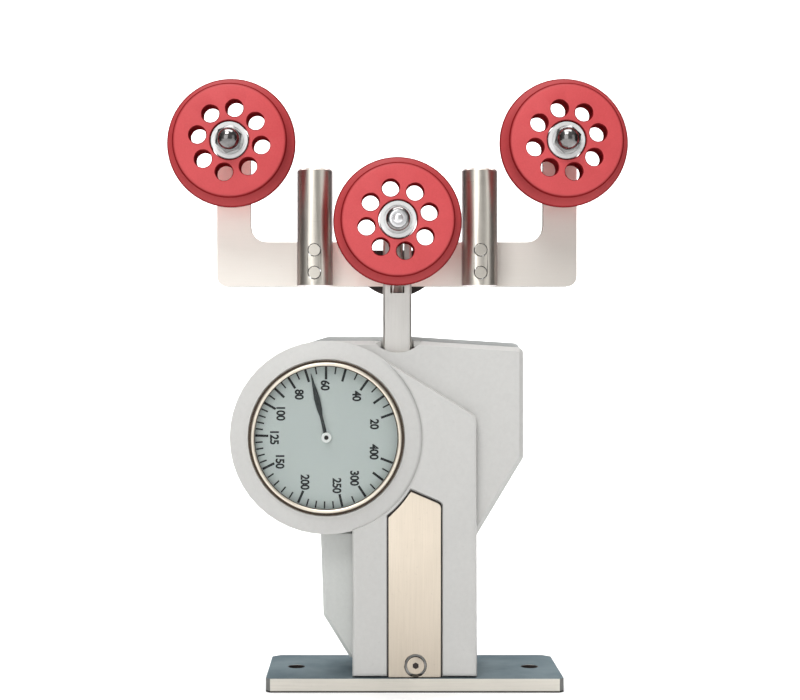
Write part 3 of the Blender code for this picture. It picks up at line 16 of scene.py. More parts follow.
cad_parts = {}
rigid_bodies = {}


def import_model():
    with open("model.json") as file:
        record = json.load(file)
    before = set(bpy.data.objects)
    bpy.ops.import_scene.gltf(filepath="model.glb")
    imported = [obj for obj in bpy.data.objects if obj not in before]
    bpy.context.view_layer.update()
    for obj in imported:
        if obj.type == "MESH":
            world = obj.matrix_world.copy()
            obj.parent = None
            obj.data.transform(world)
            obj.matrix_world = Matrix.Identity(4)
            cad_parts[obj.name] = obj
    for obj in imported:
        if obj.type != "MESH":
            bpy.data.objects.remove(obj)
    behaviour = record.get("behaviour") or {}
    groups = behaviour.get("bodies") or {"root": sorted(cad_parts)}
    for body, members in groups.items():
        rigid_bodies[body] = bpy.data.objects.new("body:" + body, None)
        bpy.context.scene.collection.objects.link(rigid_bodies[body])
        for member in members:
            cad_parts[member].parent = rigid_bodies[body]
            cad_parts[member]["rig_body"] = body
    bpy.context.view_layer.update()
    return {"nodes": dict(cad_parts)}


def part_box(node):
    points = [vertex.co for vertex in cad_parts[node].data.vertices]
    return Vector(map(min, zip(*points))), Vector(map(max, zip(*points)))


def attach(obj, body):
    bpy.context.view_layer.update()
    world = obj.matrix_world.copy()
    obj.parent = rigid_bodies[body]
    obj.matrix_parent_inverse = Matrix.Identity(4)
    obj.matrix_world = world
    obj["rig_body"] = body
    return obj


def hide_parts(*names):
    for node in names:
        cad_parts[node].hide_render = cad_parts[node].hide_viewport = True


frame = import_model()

nodes = frame["nodes"]
body_of_node = {name: item["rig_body"] for name, item in nodes.items()}
MM = 0.001

# %% [markdown]
# ## Places that later cells need
# Centres and planes are read from the CAD nodes, so the pieces made here sit where the
# CAD has them.

# %% Centres and planes
def middle(name):
    """Middle of a CAD node's box."""
    low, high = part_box(name)
    return (low + high) / 2


dial_centre = middle("dial_face")
dial_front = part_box("dial_face")[0].y
roller_centres = {side: middle(side + "_roller") for side in ("left", "middle", "right")}
print("dial centre in mm", [round(value / MM, 2) for value in dial_centre])


# %% [markdown]
# ## Building node trees
# Surfaces and Geometry Nodes trees are both built from nodes. These helpers add a node
# in one line: each input is either linked to another node's output or set to a value.

# %% Node helpers
def feed(tree, item, inputs):
    """Link each given input of a node to an output, or set it to a value."""
    for name, value in inputs.items():
        if isinstance(value, bpy.types.NodeSocket):
            tree.links.new(value, item.inputs[name])
        else:
            item.inputs[name].default_value = value
    return item


def add(tree, kind, inputs=None, **settings):
    """New node of a tree with its settings and its inputs."""
    item = tree.nodes.new(kind)
    for name, value in settings.items():
        setattr(item, name, value)
    return feed(tree, item, inputs or {})


def new_tree(name, kind, inputs, outputs):
    """Empty node group with named sockets, and the outputs of its input node."""
    tree = bpy.data.node_groups.new(name, kind)
    for way, sockets in (("INPUT", inputs), ("OUTPUT", outputs)):
        for socket, socket_kind in sockets.items():
            tree.interface.new_socket(socket, in_out=way, socket_type="NodeSocket" + socket_kind)
    return tree, tree.nodes.new("NodeGroupInput").outputs


# %% [markdown]
# ## Procedural surfaces
# All surfaces share one node group. It takes object coordinates, which are metres in
# the model's own frame, and gives out three varying values: a broad `Tone` for
# blotches, a fine `Grain` for the tooth of the surface and sparse `Speck`. `Stretch`
# pulls the grain out along one direction, which makes it look brushed.

# %% Shared grain group
def grain_group():
    """Node group with a broad tone, a fine, stretchable grain and sparse specks."""
    tree, given = new_tree("grain", "ShaderNodeTree", {"Stretch": "Vector", "Broad Scale": "Float"},
                           {"Tone": "Float", "Grain": "Float", "Speck": "Float"})
    place = add(tree, "ShaderNodeTexCoord").outputs["Object"]
    pull = add(tree, "ShaderNodeVectorMath", {0: place, 1: given["Stretch"]}, operation="MULTIPLY")
    fine = add(tree, "ShaderNodeTexNoise", {
        "Vector": pull.outputs[0], "Scale": 1, "Detail": 5, "Roughness": 0.62})
    broad = add(tree, "ShaderNodeTexNoise", {
        "Vector": place, "Scale": given["Broad Scale"], "Detail": 4, "Distortion": 0.4})
    specks = add(tree, "ShaderNodeTexNoise", {"Vector": place, "Scale": 900, "Detail": 2})
    sift = add(tree, "ShaderNodeMapRange", {
        "Value": specks.outputs["Fac"], "From Min": 0.66, "From Max": 0.76})
    add(tree, "NodeGroupOutput", {"Tone": broad.outputs["Fac"], "Grain": fine.outputs["Fac"],
                                  "Speck": sift.outputs["Result"]})
    return tree


grain = grain_group()
even = 0.5  # the blotches and the grain count the same in the tone
speck_tone = 0.45  # a speck against the darker of the two colours


def surface(name, light, dark, rough, metallic=0.0, stretch=900, broad=60,
            bump=0.2, depth=0.02, speck=0.0):
    """Principled surface between two colours and two roughness values, driven by the grain group.

    stretch is the grain's scale, one number or one for each object axis, and broad that of the
    blotches, both in waves per metre; depth is the height of the relief in millimetres.
    """
    item = bpy.data.materials.new(name)
    item.use_nodes = True
    tree = item.node_tree
    pull = (stretch,) * 3 if isinstance(stretch, int) else stretch
    source = add(tree, "ShaderNodeGroup", {"Stretch": pull, "Broad Scale": broad}, node_tree=grain)
    blend = add(tree, "ShaderNodeMix", {
        "Factor": even, "A": source.outputs["Grain"], "B": source.outputs["Tone"]})
    spread = add(tree, "ShaderNodeMapRange", {
        "Value": blend.outputs["Result"], "From Min": 0.3, "From Max": 0.7}).outputs["Result"]
    tint = add(tree, "ShaderNodeMix", {
        "Factor": spread, "A": (*dark, 1), "B": (*light, 1)}, data_type="RGBA")
    if speck:
        weaken = add(tree, "ShaderNodeMath", {0: source.outputs["Speck"], 1: speck}, operation="MULTIPLY")
        tint = add(tree, "ShaderNodeMix", {
            "Factor": weaken.outputs[0], "A": tint.outputs["Result"],
            "B": (*[value * speck_tone for value in dark], 1)}, data_type="RGBA")
    gloss = add(tree, "ShaderNodeMapRange", {"Value": spread, "To Min": rough[0], "To Max": rough[1]})
    relief = add(tree, "ShaderNodeBump", {
        "Strength": bump, "Distance": depth * MM, "Height": source.outputs["Grain"]})
    feed(tree, tree.nodes["Principled BSDF"], {
        "Base Color": tint.outputs["Result"], "Roughness": gloss.outputs["Result"],
        "Normal": relief.outputs["Normal"], "Metallic": metallic})
    return item


# %% [markdown]
# ## The surfaces of this object
# The colours are scene-linear values read from the photograph: an off-white
# casting, matt red rollers, steel with warm reflections, and a pale blue-grey dial.

# %% Named surfaces
surface_table = {
    # name: (light colour, dark colour, least and most roughness, what the grain does)
    "roller_red": ((0.68, 0.080, 0.088), (0.59, 0.058, 0.064), (0.46, 0.62),
        dict(stretch=1500, broad=45, bump=0.25, speck=0.12)),
    "cast_paint": ((0.600, 0.597, 0.578), (0.540, 0.537, 0.520), (0.42, 0.56),
        dict(stretch=700, broad=22, bump=0.22, depth=0.03, speck=0.10)),
    "rear_paint": ((0.61, 0.635, 0.635), (0.55, 0.575, 0.575), (0.42, 0.56),
        dict(stretch=700, broad=24, bump=0.22, depth=0.03, speck=0.10)),
    "lever_paint": ((0.59, 0.605, 0.585), (0.52, 0.535, 0.515), (0.42, 0.56),
        dict(stretch=700, broad=28, bump=0.22, depth=0.03, speck=0.10)),
    "inlay_steel": ((0.90, 0.80, 0.67), (0.76, 0.67, 0.55), (0.34, 0.50),
        dict(metallic=0.85, stretch=(2600, 400, 70), broad=30, bump=0.28, depth=0.012, speck=0.10)),
    "plate_steel": ((0.98, 0.93, 0.86), (0.94, 0.885, 0.81), (0.38, 0.54),
        dict(metallic=0.1, stretch=(90, 500, 2400), broad=34, bump=0.25, depth=0.012, speck=0.08)),
    "post_steel": ((0.95, 0.90, 0.81), (0.84, 0.79, 0.70), (0.26, 0.36),
        dict(metallic=1, stretch=(150, 150, 5200), broad=50, bump=0.22, depth=0.008, speck=0.05)),
    "stem_steel": ((0.90, 0.88, 0.84), (0.80, 0.78, 0.74), (0.28, 0.42),
        dict(metallic=0.9, stretch=(2400, 900, 60), broad=40, bump=0.22, depth=0.010, speck=0.05)),
    "chrome": ((0.52, 0.53, 0.55), (0.38, 0.39, 0.41), (0.08, 0.16),
        dict(metallic=1, stretch=600, broad=90, bump=0.05, depth=0.004, speck=0.03)),
    "bright_chrome": ((0.95, 0.95, 0.96), (0.86, 0.86, 0.88), (0.24, 0.34),
        dict(metallic=0.8, stretch=600, broad=90, bump=0.05, depth=0.004, speck=0.03)),
    # chrome whose colour is lowered as a painted dark reflection
    "dark_chrome": ((0.34, 0.33, 0.32), (0.15, 0.145, 0.15), (0.12, 0.22),
        dict(metallic=1, stretch=600, broad=90, bump=0.08, depth=0.004, speck=0.05)),
    "race_steel": ((0.95, 0.95, 0.94), (0.88, 0.88, 0.88), (0.30, 0.42),
        dict(metallic=0.1, stretch=1800, broad=120, bump=0.15, depth=0.006)),
    "plain_steel": ((0.60, 0.59, 0.57), (0.46, 0.45, 0.44), (0.30, 0.46),
        dict(metallic=1, depth=0.01, speck=0.08)),
    # dark steel of screws and parts, and also painted shade in the seam, the holes and a screw socket
    "dark_steel": ((0.075, 0.062, 0.058), (0.035, 0.030, 0.030), (0.36, 0.52),
        dict(metallic=0.8, broad=70, bump=0.25, depth=0.015)),
    "brass": ((0.72, 0.53, 0.27), (0.56, 0.39, 0.18), (0.26, 0.40),
        dict(metallic=1, stretch=(1200, 1200, 160), broad=50, depth=0.01, speck=0.06)),
    "dial_grey": ((0.555, 0.600, 0.588), (0.505, 0.550, 0.538), (0.42, 0.52),
        dict(stretch=1400, broad=26, bump=0.10, depth=0.008, speck=0.05)),
    "bezel_gold": ((0.93, 0.86, 0.74), (0.82, 0.74, 0.61), (0.30, 0.42),
        dict(metallic=0.75, broad=70, bump=0.08, depth=0.004, speck=0.03)),
    "bezel_dark": ((0.085, 0.060, 0.040), (0.040, 0.028, 0.020), (0.36, 0.50),
        dict(metallic=0.6, broad=70, bump=0.10, depth=0.005)),
    "ink": ((0.020, 0.021, 0.023), (0.010, 0.010, 0.012), (0.50, 0.64),
        dict(stretch=2200, broad=160, bump=0.15, depth=0.006)),
    "pointer_black": ((0.045, 0.050, 0.052), (0.025, 0.028, 0.030), (0.40, 0.54),
        dict(stretch=1600, broad=120, bump=0.15, depth=0.006)),
    "hub_white": ((0.96, 0.96, 0.95), (0.90, 0.90, 0.89), (0.30, 0.42),
        dict(stretch=1600, broad=150, bump=0.10, depth=0.005)),
    "rubber": ((0.030, 0.030, 0.032), (0.016, 0.016, 0.018), (0.62, 0.78),
        dict(stretch=1300, broad=90, bump=0.3, depth=0.015)),
    "spring_steel": ((0.50, 0.51, 0.53), (0.36, 0.37, 0.39), (0.24, 0.36),
        dict(metallic=1, stretch=800, broad=120, bump=0.15, depth=0.008)),
}
looks = {name: surface(name, *tones, **more) for name, (*tones, more) in surface_table.items()}


def glass_surface():
    """Clear glass: mostly see-through, with a faint tone that varies in its roughness."""
    item = bpy.data.materials.new("dial_glass")
    item.use_nodes = True
    tree = item.node_tree
    source = add(tree, "ShaderNodeGroup", {"Stretch": (500, 500, 500), "Broad Scale": 30}, node_tree=grain)
    gloss = add(tree, "ShaderNodeMapRange", {"Value": source.outputs["Tone"], "To Min": 0.0, "To Max": 0.06})
    feed(tree, tree.nodes["Principled BSDF"], {
        "Roughness": gloss.outputs["Result"], "Base Color": (0.96, 0.98, 0.97, 1),
        "Transmission Weight": 1, "IOR": 1.08})
    return item


def base_colour(tree):
    """Output that feeds the base colour at present."""
    return tree.nodes["Principled BSDF"].inputs["Base Color"].links[0].from_socket


def axis_mask(tree, axis, low, high, both=True):
    """Value from 0 to 1 as the surface turns to face along an object axis, one way or both."""
    normal = add(tree, "ShaderNodeTexCoord").outputs["Normal"]
    value = add(tree, "ShaderNodeSeparateXYZ", {0: normal}).outputs[axis]
    if both:
        value = add(tree, "ShaderNodeMath", {0: value}, operation="ABSOLUTE").outputs[0]
    facing = add(tree, "ShaderNodeMapRange", {"Value": value, "From Min": low, "From Max": high})
    return facing.outputs["Result"]


def blend_colour(tree, mask, first, second):
    """Put a colour mix on the base colour: first where the mask is 0, second where it is 1."""
    ends = [(*tone, 1) if isinstance(tone, tuple) else tone for tone in (first, second)]
    whole = add(tree, "ShaderNodeMix", {"Factor": mask, "A": ends[0], "B": ends[1]}, data_type="RGBA")
    feed(tree, tree.nodes["Principled BSDF"], {"Base Color": whole.outputs["Result"]})


def blend_value(tree, mask, name, first, second):
    """Let a shader value run from first to second with the mask."""
    step = add(tree, "ShaderNodeMapRange", {"Value": mask, "To Min": first, "To Max": second})
    feed(tree, tree.nodes["Principled BSDF"], {name: step.outputs["Result"]})


def face_and_edge(item, low, high, edge):
    """Keep the surface on faces that look along Y and give its edges and hole walls the darker tone edge, as
    painted shade.

    The change runs from a low to a high share of the surface's turn toward Y.
    """
    tree = item.node_tree
    mask = axis_mask(tree, "Y", low, high)
    blend_colour(tree, mask, edge, base_colour(tree))
    blend_value(tree, mask, "Specular IOR Level", 0.0, 0.5)


def place_ramp(tree, axis, low, high, first, second):
    """Value that runs from first to second between two places on an object axis, in millimetres."""
    place = add(tree, "ShaderNodeTexCoord").outputs["Object"]
    split = add(tree, "ShaderNodeSeparateXYZ", {0: place})
    return add(tree, "ShaderNodeMapRange", {
        "Value": split.outputs[axis], "From Min": low * MM, "From Max": high * MM,
        "To Min": first, "To Max": second}).outputs["Result"]


def multiply_colour(tree, factor):
    """Multiply the base colour by a value that varies over the surface."""
    whole = add(tree, "ShaderNodeMix", {"Factor": 1, "A": base_colour(tree), "B": factor},
                data_type="RGBA", blend_type="MULTIPLY")
    feed(tree, tree.nodes["Principled BSDF"], {"Base Color": whole.outputs["Result"]})


def fade(item, axis, low, high, first, second):
    """Painted light and shade: the tone of a surface runs from first to second between two places on an
    object axis.
    """
    multiply_colour(item.node_tree, place_ramp(item.node_tree, axis, low, high, first, second))


def corner_line(item, centre, radius, width, tone, start, full):
    """Painted shade: a soft grey line at a radius from a centre, where two faces meet in a corner.

    It grows along X from nothing at start to its whole strength at full, all in millimetres.
    """
    tree = item.node_tree
    place = add(tree, "ShaderNodeTexCoord").outputs["Object"]
    reach = add(tree, "ShaderNodeVectorMath", {0: place, 1: centre}, operation="DISTANCE")
    off = add(tree, "ShaderNodeMath", {0: reach.outputs["Value"], 1: radius * MM}, operation="SUBTRACT")
    away = add(tree, "ShaderNodeMath", {0: off.outputs[0]}, operation="ABSOLUTE")
    band = add(tree, "ShaderNodeMapRange", {
        "Value": away.outputs[0], "From Max": width * MM, "To Min": 1, "To Max": 0})
    grown = place_ramp(tree, "X", start, full, 0, 1)
    share = add(tree, "ShaderNodeMath", {0: band.outputs["Result"], 1: grown}, operation="MULTIPLY")
    soft = add(tree, "ShaderNodeMapRange", {"Value": share.outputs[0], "To Min": 1, "To Max": tone})
    multiply_colour(tree, soft.outputs["Result"])


def base_surface():
    """Steel plate: bright warm metal on its long cut edges, a dull blue-grey top of patina and painted dark
    reflection, painted shade on its ends and bottom edge.
    """
    bare_metal = 0.5
    item = surface("base_steel", (0.70, 0.67, 0.60), (0.57, 0.545, 0.49), (0.34, 0.48), metallic=bare_metal,
                   stretch=(80, 2200, 2200), broad=30, bump=0.25, depth=0.012, speck=0.10)
    tree = item.node_tree
    top = axis_mask(tree, "Z", 0.80, 0.97, both=False)
    place = add(tree, "ShaderNodeTexCoord").outputs["Object"]
    blotch = add(tree, "ShaderNodeTexNoise", {"Vector": place, "Scale": 55, "Detail": 5})
    # The top is a painted dark reflection with blotchy patina in it: dark blue-grey and without gloss.
    patina_and_dark_reflection = add(tree, "ShaderNodeMix", {
        "Factor": blotch.outputs["Fac"], "A": (0.050, 0.072, 0.085, 1), "B": (0.195, 0.235, 0.250, 1),
    }, data_type="RGBA")
    blend_colour(tree, top, base_colour(tree), patina_and_dark_reflection.outputs["Result"])
    blend_value(tree, top, "Metallic", bare_metal, 0.0)
    blend_value(tree, top, "Specular IOR Level", 0.5, 0.0)
    # Painted shade on the faces at the ends of the plate.
    blend_colour(tree, axis_mask(tree, "X", 0.35, 0.75), base_colour(tree), (0.075, 0.080, 0.082))
    # Painted shadow: a dark line along the bottom edge of the plate.
    fade(item, "Z", low=0.45, high=0.75, first=0.05, second=1.0)
    return item


# Painted shade: the rollers' edges and hole walls, the inlay plate's seam edge and the yoke plate's edges get
# a darker colour.
face_and_edge(looks["roller_red"], low=0.72, high=0.99, edge=(0.20, 0.012, 0.014))
face_and_edge(looks["inlay_steel"], low=0.80, high=0.98, edge=(0.070, 0.055, 0.042))
face_and_edge(looks["plate_steel"], low=0.80, high=0.98, edge=(0.17, 0.15, 0.13))
# Painted reflection: the inlay plate is lighter at its top and darker at its bottom.
fade(looks["inlay_steel"], "Z", low=10, high=56, first=0.70, second=1.08)
# Painted shade: the yoke plate gets darker toward its right end.
fade(looks["plate_steel"], "X", low=0, high=48, first=1.0, second=0.70)
# Painted light: the casting gets lighter toward its top.
fade(looks["cast_paint"], "Z", low=10, high=120, first=0.92, second=1.05)
# Painted shade in the corner on the right side of the dial boss, where it meets the raised face.
corner_shade_centre = (dial_centre.x, -26.2 * MM, dial_centre.z)
corner_line(looks["cast_paint"], corner_shade_centre, radius=34.5, width=1.0, tone=0.72, start=-14, full=-4)
# Painted dark reflection on the sides of the guide posts, which turn away from the front.
post = looks["post_steel"].node_tree
blend_colour(post, axis_mask(post, "Y", 0.40, 0.92), (0.26, 0.205, 0.20), base_colour(post))
looks["base_steel"] = base_surface()
looks["clear_glass"] = glass_surface()
print("surfaces", len(looks))


# %% [markdown]
# ## Finer copies of the CAD nodes
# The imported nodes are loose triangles. A copy is merged, its flat faces are joined
# again, its sharp edges get a small bevel, and it is shaded smooth. The copy then
# stands for its node.

# %% Limits for the finer copies
merge_gap = 0.002 * MM  # vertices closer than this are one
flat_turn = math.radians(0.4)  # faces that turn less than this are joined
bevel_turn = math.radians(38)  # edges that turn more than this get a bevel
copy_smooth = 32  # degrees up to which a copy is shaded smooth


# %% Helpers for copies and new pieces
def finish_piece(item, body, look, angle=copy_smooth, flat=False):
    """Give a finished piece its surface, shade it smooth up to an angle and let it move with a body."""
    item.data.materials.clear()
    item.data.materials.append(looks[look])
    item.data.shade_smooth()
    item.data.set_sharp_from_angle(angle=math.radians(angle))
    if flat:
        step = item.modifiers.new("normals", "WEIGHTED_NORMAL")
        step.keep_sharp = True
        step.weight = 100
        settle(item)
    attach(item, body)


def mesh_object(name, work):
    """New object from a bmesh, its normals outward."""
    bmesh.ops.recalc_face_normals(work, faces=work.faces)
    mesh = bpy.data.meshes.new(name)
    work.to_mesh(mesh)
    work.free()
    item = bpy.data.objects.new(name, mesh)
    bpy.context.scene.collection.objects.link(item)
    return item


def settle(item):
    """Make what the modifiers show into the object's own mesh."""
    bpy.context.view_layer.update()
    graph = bpy.context.evaluated_depsgraph_get()
    mesh = bpy.data.meshes.new_from_object(item.evaluated_get(graph))
    mesh.name = item.name
    item.modifiers.clear()
    item.data = mesh


def node_mesh(node):
    """Merged triangles of a CAD node."""
    work = bmesh.new()
    work.from_mesh(nodes[node].data)
    bmesh.ops.remove_doubles(work, verts=work.verts, dist=merge_gap)
    return work


def fine_copy(node, look, bevel, shape):
    """Bevelled and smooth copy of a CAD node, which it stands for; shape may change it first."""
    work = node_mesh(node)
    if shape:
        shape(work)
    bmesh.ops.dissolve_limit(work, angle_limit=flat_turn, verts=work.verts, edges=work.edges)
    item = mesh_object(node + "_look", work)
    if bevel:
        step = item.modifiers.new("edges", "BEVEL")
        step.width = bevel * MM
        step.segments = 2
        step.limit_method = "ANGLE"
        step.angle_limit = bevel_turn
        settle(item)
    finish_piece(item, body_of_node[node], look, flat=bevel > 0)
    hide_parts(node)


def turned_rings(work, profile, steps, place, closed):
    """Rings of a turned form, joined by faces; place puts a radius, a height and an angle in space."""
    rings = []
    for radius, height in profile:
        rings.append([work.verts.new(place(radius * MM, height * MM, 2 * math.pi * step / steps))
                      for step in range(steps)])
    for first, second in zip(rings, rings[1:] + (rings[:1] if closed else [])):
        for step in range(steps):
            follow = (step + 1) % steps
            work.faces.new((first[step], first[follow], second[follow], second[step]))
    return rings


def lathe(name, profile, centre, steps):
    """Turned piece about the Y axis; the profile is (radius, y) in millimetres, closed by itself."""
    work = bmesh.new()
    turned_rings(work, profile, steps, lambda r, y, turn: (r * math.cos(turn), y, r * math.sin(turn)), True)
    bmesh.ops.translate(work, vec=centre, verts=work.verts)
    return mesh_object(name, work)


print("helpers ready")


# %% [markdown]
# ## Rollers
# Each roller is turned from one profile, then a Geometry Nodes tree sets copies of a
# flared cutter on a circle and takes them out. The number of holes, their circle and
# their turn are inputs of the tree, so another roller needs only other numbers.

# %% Tree that cuts a ring of holes
def hole_ring_tree():
    """Geometry Nodes tree: copies of a cutter on a circle are taken out of a turned piece."""
    tree, given = new_tree("hole_ring", "GeometryNodeTree", {
        "Geometry": "Geometry", "Count": "Int", "Ring Radius": "Float", "Turn": "Float", "Centre": "Vector",
        "Cutter": "Object", "Material": "Material",
    }, {"Geometry": "Geometry"})
    ring = add(tree, "GeometryNodeMeshCircle", {"Vertices": given["Count"], "Radius": given["Ring Radius"]})
    tool = add(tree, "GeometryNodeObjectInfo", {"Object": given["Cutter"]})
    place = add(tree, "GeometryNodeInstanceOnPoints", {
        "Points": ring.outputs["Mesh"], "Instance": tool.outputs["Geometry"]})
    real = add(tree, "GeometryNodeRealizeInstances", {"Geometry": place.outputs["Instances"]})
    turn = add(tree, "ShaderNodeCombineXYZ", {"Z": given["Turn"]})
    spun = add(tree, "GeometryNodeTransform", {
        "Geometry": real.outputs["Geometry"], "Rotation": turn.outputs[0]})
    stand = add(tree, "GeometryNodeTransform", {
        "Geometry": spun.outputs["Geometry"], "Rotation": (math.pi / 2, 0, 0),
        "Translation": given["Centre"]})
    cut = add(tree, "GeometryNodeMeshBoolean", {
        "Mesh 1": given["Geometry"], "Mesh 2": stand.outputs["Geometry"],
    }, operation="DIFFERENCE", solver="EXACT")
    dressed = add(tree, "GeometryNodeSetMaterial", {
        "Geometry": cut.outputs["Mesh"], "Material": given["Material"]})
    add(tree, "NodeGroupOutput", {0: dressed.outputs["Geometry"]})
    return tree


def upright_cutter(name, profile, steps):
    """Closed turned solid about Z for use as a cutter; the profile runs bottom to top."""
    work = bmesh.new()
    rings = turned_rings(
        work, profile, steps, lambda r, z, turn: (r * math.cos(turn), r * math.sin(turn), z), False)
    work.faces.new(rings[0])
    work.faces.new(rings[-1])
    return mesh_object(name, work)


def run_tree(item, tree, values):
    """Add a tree to an object, set its named inputs, and make the result the object's mesh."""
    step = item.modifiers.new(tree.name, "NODES")
    step.node_group = tree
    sockets = {s.name: s.identifier for s in tree.interface.items_tree if s.in_out == "INPUT"}
    for name, value in values.items():
        step[sockets[name]] = value
    settle(item)


hole_ring = hole_ring_tree()
print("tree inputs", [s.name for s in hole_ring.interface.items_tree if s.in_out == "INPUT"])

# %% Turned rollers with their holes
roller_profile = [
    (7.05, -4.75), (7.35, -5.0), (13.2, -5.0), (13.6, -4.9), (19.6, -4.9), (20.2, -4.7), (20.6, -4.3),
    (20.8, -3.7), (20.7, -3.1), (20.3, -2.8), (17.3, -0.75), (16.9, -0.25), (16.9, 0.25), (17.3, 0.75),
    (22.9, 3.4), (23.3, 3.6), (23.55, 3.95), (23.6, 4.3), (23.4, 4.75), (23.0, 5.0), (7.35, 5.0),
    (7.05, 4.75),
]
hole_count = 8
hole_circle = 11.7  # radius in millimetres of the circle on which the holes stand
hole_turns = {"left": -9.3, "middle": 13.0, "right": 13.0}  # degrees
hole_cutter = upright_cutter("hole_cutter", [(3.75, -5.3), (3.15, -4.7), (3.15, 4.7), (3.75, 5.3)], steps=36)
for side, centre in roller_centres.items():
    roller = lathe(side + "_roller_look", roller_profile, centre, steps=120)
    run_tree(roller, hole_ring, {
        "Count": hole_count, "Ring Radius": hole_circle * MM, "Turn": math.radians(hole_turns[side]),
        "Centre": centre, "Cutter": hole_cutter, "Material": looks["roller_red"],
    })
    finish_piece(roller, side + "_wheel", "roller_red", angle=30)
    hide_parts(side + "_roller")
    print(side, "roller faces", len(roller.data.polygons))
bpy.data.objects.remove(hole_cutter)


# %% [markdown]
# ## Bearings
# The bearing of a roller is shown as its real rings: an outer race, a shield, an inner
# race and the track of the balls, each a closed turned piece with a hair of room
# between them.

# %% Bearing rings
for side, centre in roller_centres.items():
    low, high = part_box(side + "_bearing")
    front = (low.y - centre.y) / MM
    back = (high.y - centre.y) / MM
    rings = {
        "outer_race": ("race_steel", [(5.1, front + 0.12), (5.2, front), (6.55, front), (6.7, front + 0.15),
                                      (6.7, back - 0.15), (6.55, back), (5.2, back), (5.1, back - 0.12)]),
        "shield": ("race_steel", [(4.12, front + 0.25), (5.02, front + 0.2), (5.02, front + 0.4),
                                  (4.12, front + 0.45)]),
        "inner_race": ("race_steel", [(2.45, front + 0.12), (2.6, front), (3.9, front), (4.05, front + 0.15),
                                      (4.05, back - 0.15), (3.9, back), (2.6, back), (2.45, back - 0.12)]),
        "ball_track": ("plain_steel", [(4.12, front + 0.9), (5.02, front + 0.9), (5.02, back - 0.6),
                                       (4.12, back - 0.6)]),
    }
    for name, (look, profile) in rings.items():
        ring = lathe(side + "_" + name, profile, centre, steps=64)
        finish_piece(ring, side + "_wheel", look, 30)
    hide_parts(side + "_bearing")
print("bearing rings", len(roller_centres) * len(rings))


# %% [markdown]
# ## Dome nuts
# A dome nut is a hexagon whose corners are turned off by a shallow cone, with a
# dome on a short neck. The hexagon is cut from a turned blank by intersection, which
# gives the curved chamfer lines of a real nut.

# %% Dome nuts of the outer rollers
hexagon_turn = math.radians(12)
hexagon_corner, hexagon_height = 5.05, 3.0  # millimetres, as all sizes of the nuts
dome_radius, dome_rise, dome_steps = 3.95, 3.6, 12
nut_bore = 2.45


def hexagon(name, radius, low, high, centre):
    """Six-sided prism along Y; low and high in millimetres from the centre."""
    work = bmesh.new()
    bmesh.ops.create_cone(work, cap_ends=True, segments=6, radius1=radius * MM, radius2=radius * MM,
                          depth=(high - low) * MM, matrix=Matrix.Rotation(math.pi / 2, 4, "X"))
    bmesh.ops.rotate(work, verts=work.verts, cent=(0, 0, 0), matrix=Matrix.Rotation(hexagon_turn, 3, "Y"))
    shift = Vector((0, (low + high) / 2 * MM, 0)) + Vector(centre)
    bmesh.ops.translate(work, vec=shift, verts=work.verts)
    return mesh_object(name, work)


def boolean(item, tool, operation):
    """Boolean with another object, which is then removed."""
    step = item.modifiers.new("boolean", "BOOLEAN")
    step.operation = operation
    step.object = tool
    step.solver = "EXACT"
    settle(item)
    bpy.data.objects.remove(tool)


for side in ("left", "right"):
    low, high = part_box(side + "_nut")
    seat = Vector((roller_centres[side].x, high.y, roller_centres[side].z))
    body = hexagon(side + "_nut_look", hexagon_corner, -hexagon_height, 0, seat)
    blank_profile = [(0.02, -3.05), (4.1, -3.0), (5.3, -2.2), (5.3, -0.45), (4.5, 0.05), (0.02, 0.05)]
    boolean(body, lathe("blank", blank_profile, seat, steps=64), "INTERSECT")
    dome_profile = [(0.02, -hexagon_height - dome_rise)]
    for step in range(1, dome_steps + 1):
        angle = math.radians(90 * step / dome_steps)
        dome_profile.append((dome_radius * math.sin(angle), -hexagon_height - dome_rise * math.cos(angle)))
    dome_profile += [(dome_radius, -2.6), (0.02, -2.6)]
    boolean(body, lathe("dome", dome_profile, seat, steps=64), "UNION")
    bore = lathe("bore", [(0.02, -2.5), (nut_bore, -2.5), (nut_bore, 0.5), (0.02, 0.5)], seat, steps=40)
    boolean(body, bore, "DIFFERENCE")
    # The nut's chrome is darkened: painted dark reflection.
    finish_piece(body, body_of_node[side + "_nut"], "dark_chrome", angle=28)
    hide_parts(side + "_nut")
    print(side, "nut faces", len(body.data.polygons))

# %% Stepped nut of the middle roller
low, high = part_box("middle_nut")
seat = Vector((roller_centres["middle"].x, high.y, roller_centres["middle"].z))
cap = lathe("middle_nut_look", [
    (0.02, -4.0), (0.7, -3.95), (1.3, -3.75), (1.65, -3.4), (1.72, -2.65), (2.05, -2.65), (2.1, -2.95),
    (2.9, -2.98), (3.1, -2.9), (3.15, -2.6), (3.15, -0.02), (nut_bore, -0.02), (nut_bore, -2.4), (0.02, -2.4),
], seat, steps=72)
finish_piece(cap, "gauge_rod", "bright_chrome", angle=26)
collar = lathe("middle_nut_collar", [
    (3.2, -2.3), (3.45, -2.35), (4.0, -2.05), (4.3, -1.6), (4.4, -1.1), (4.4, -0.2), (4.25, 0.0), (3.2, 0.0),
], seat, steps=72)
# The collar's chrome is darkened: painted dark reflection.
finish_piece(collar, "gauge_rod", "dark_chrome", angle=30)
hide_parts("middle_nut")


# %% [markdown]
# ## The cast housing, the metal frame and the rest
# These keep the shape of their CAD node, with finer edges and shading. Two of them
# change a little first: the face of the dial boss falls back toward its rim, and the
# inlay plate is a trifle narrower, so its seam shows.

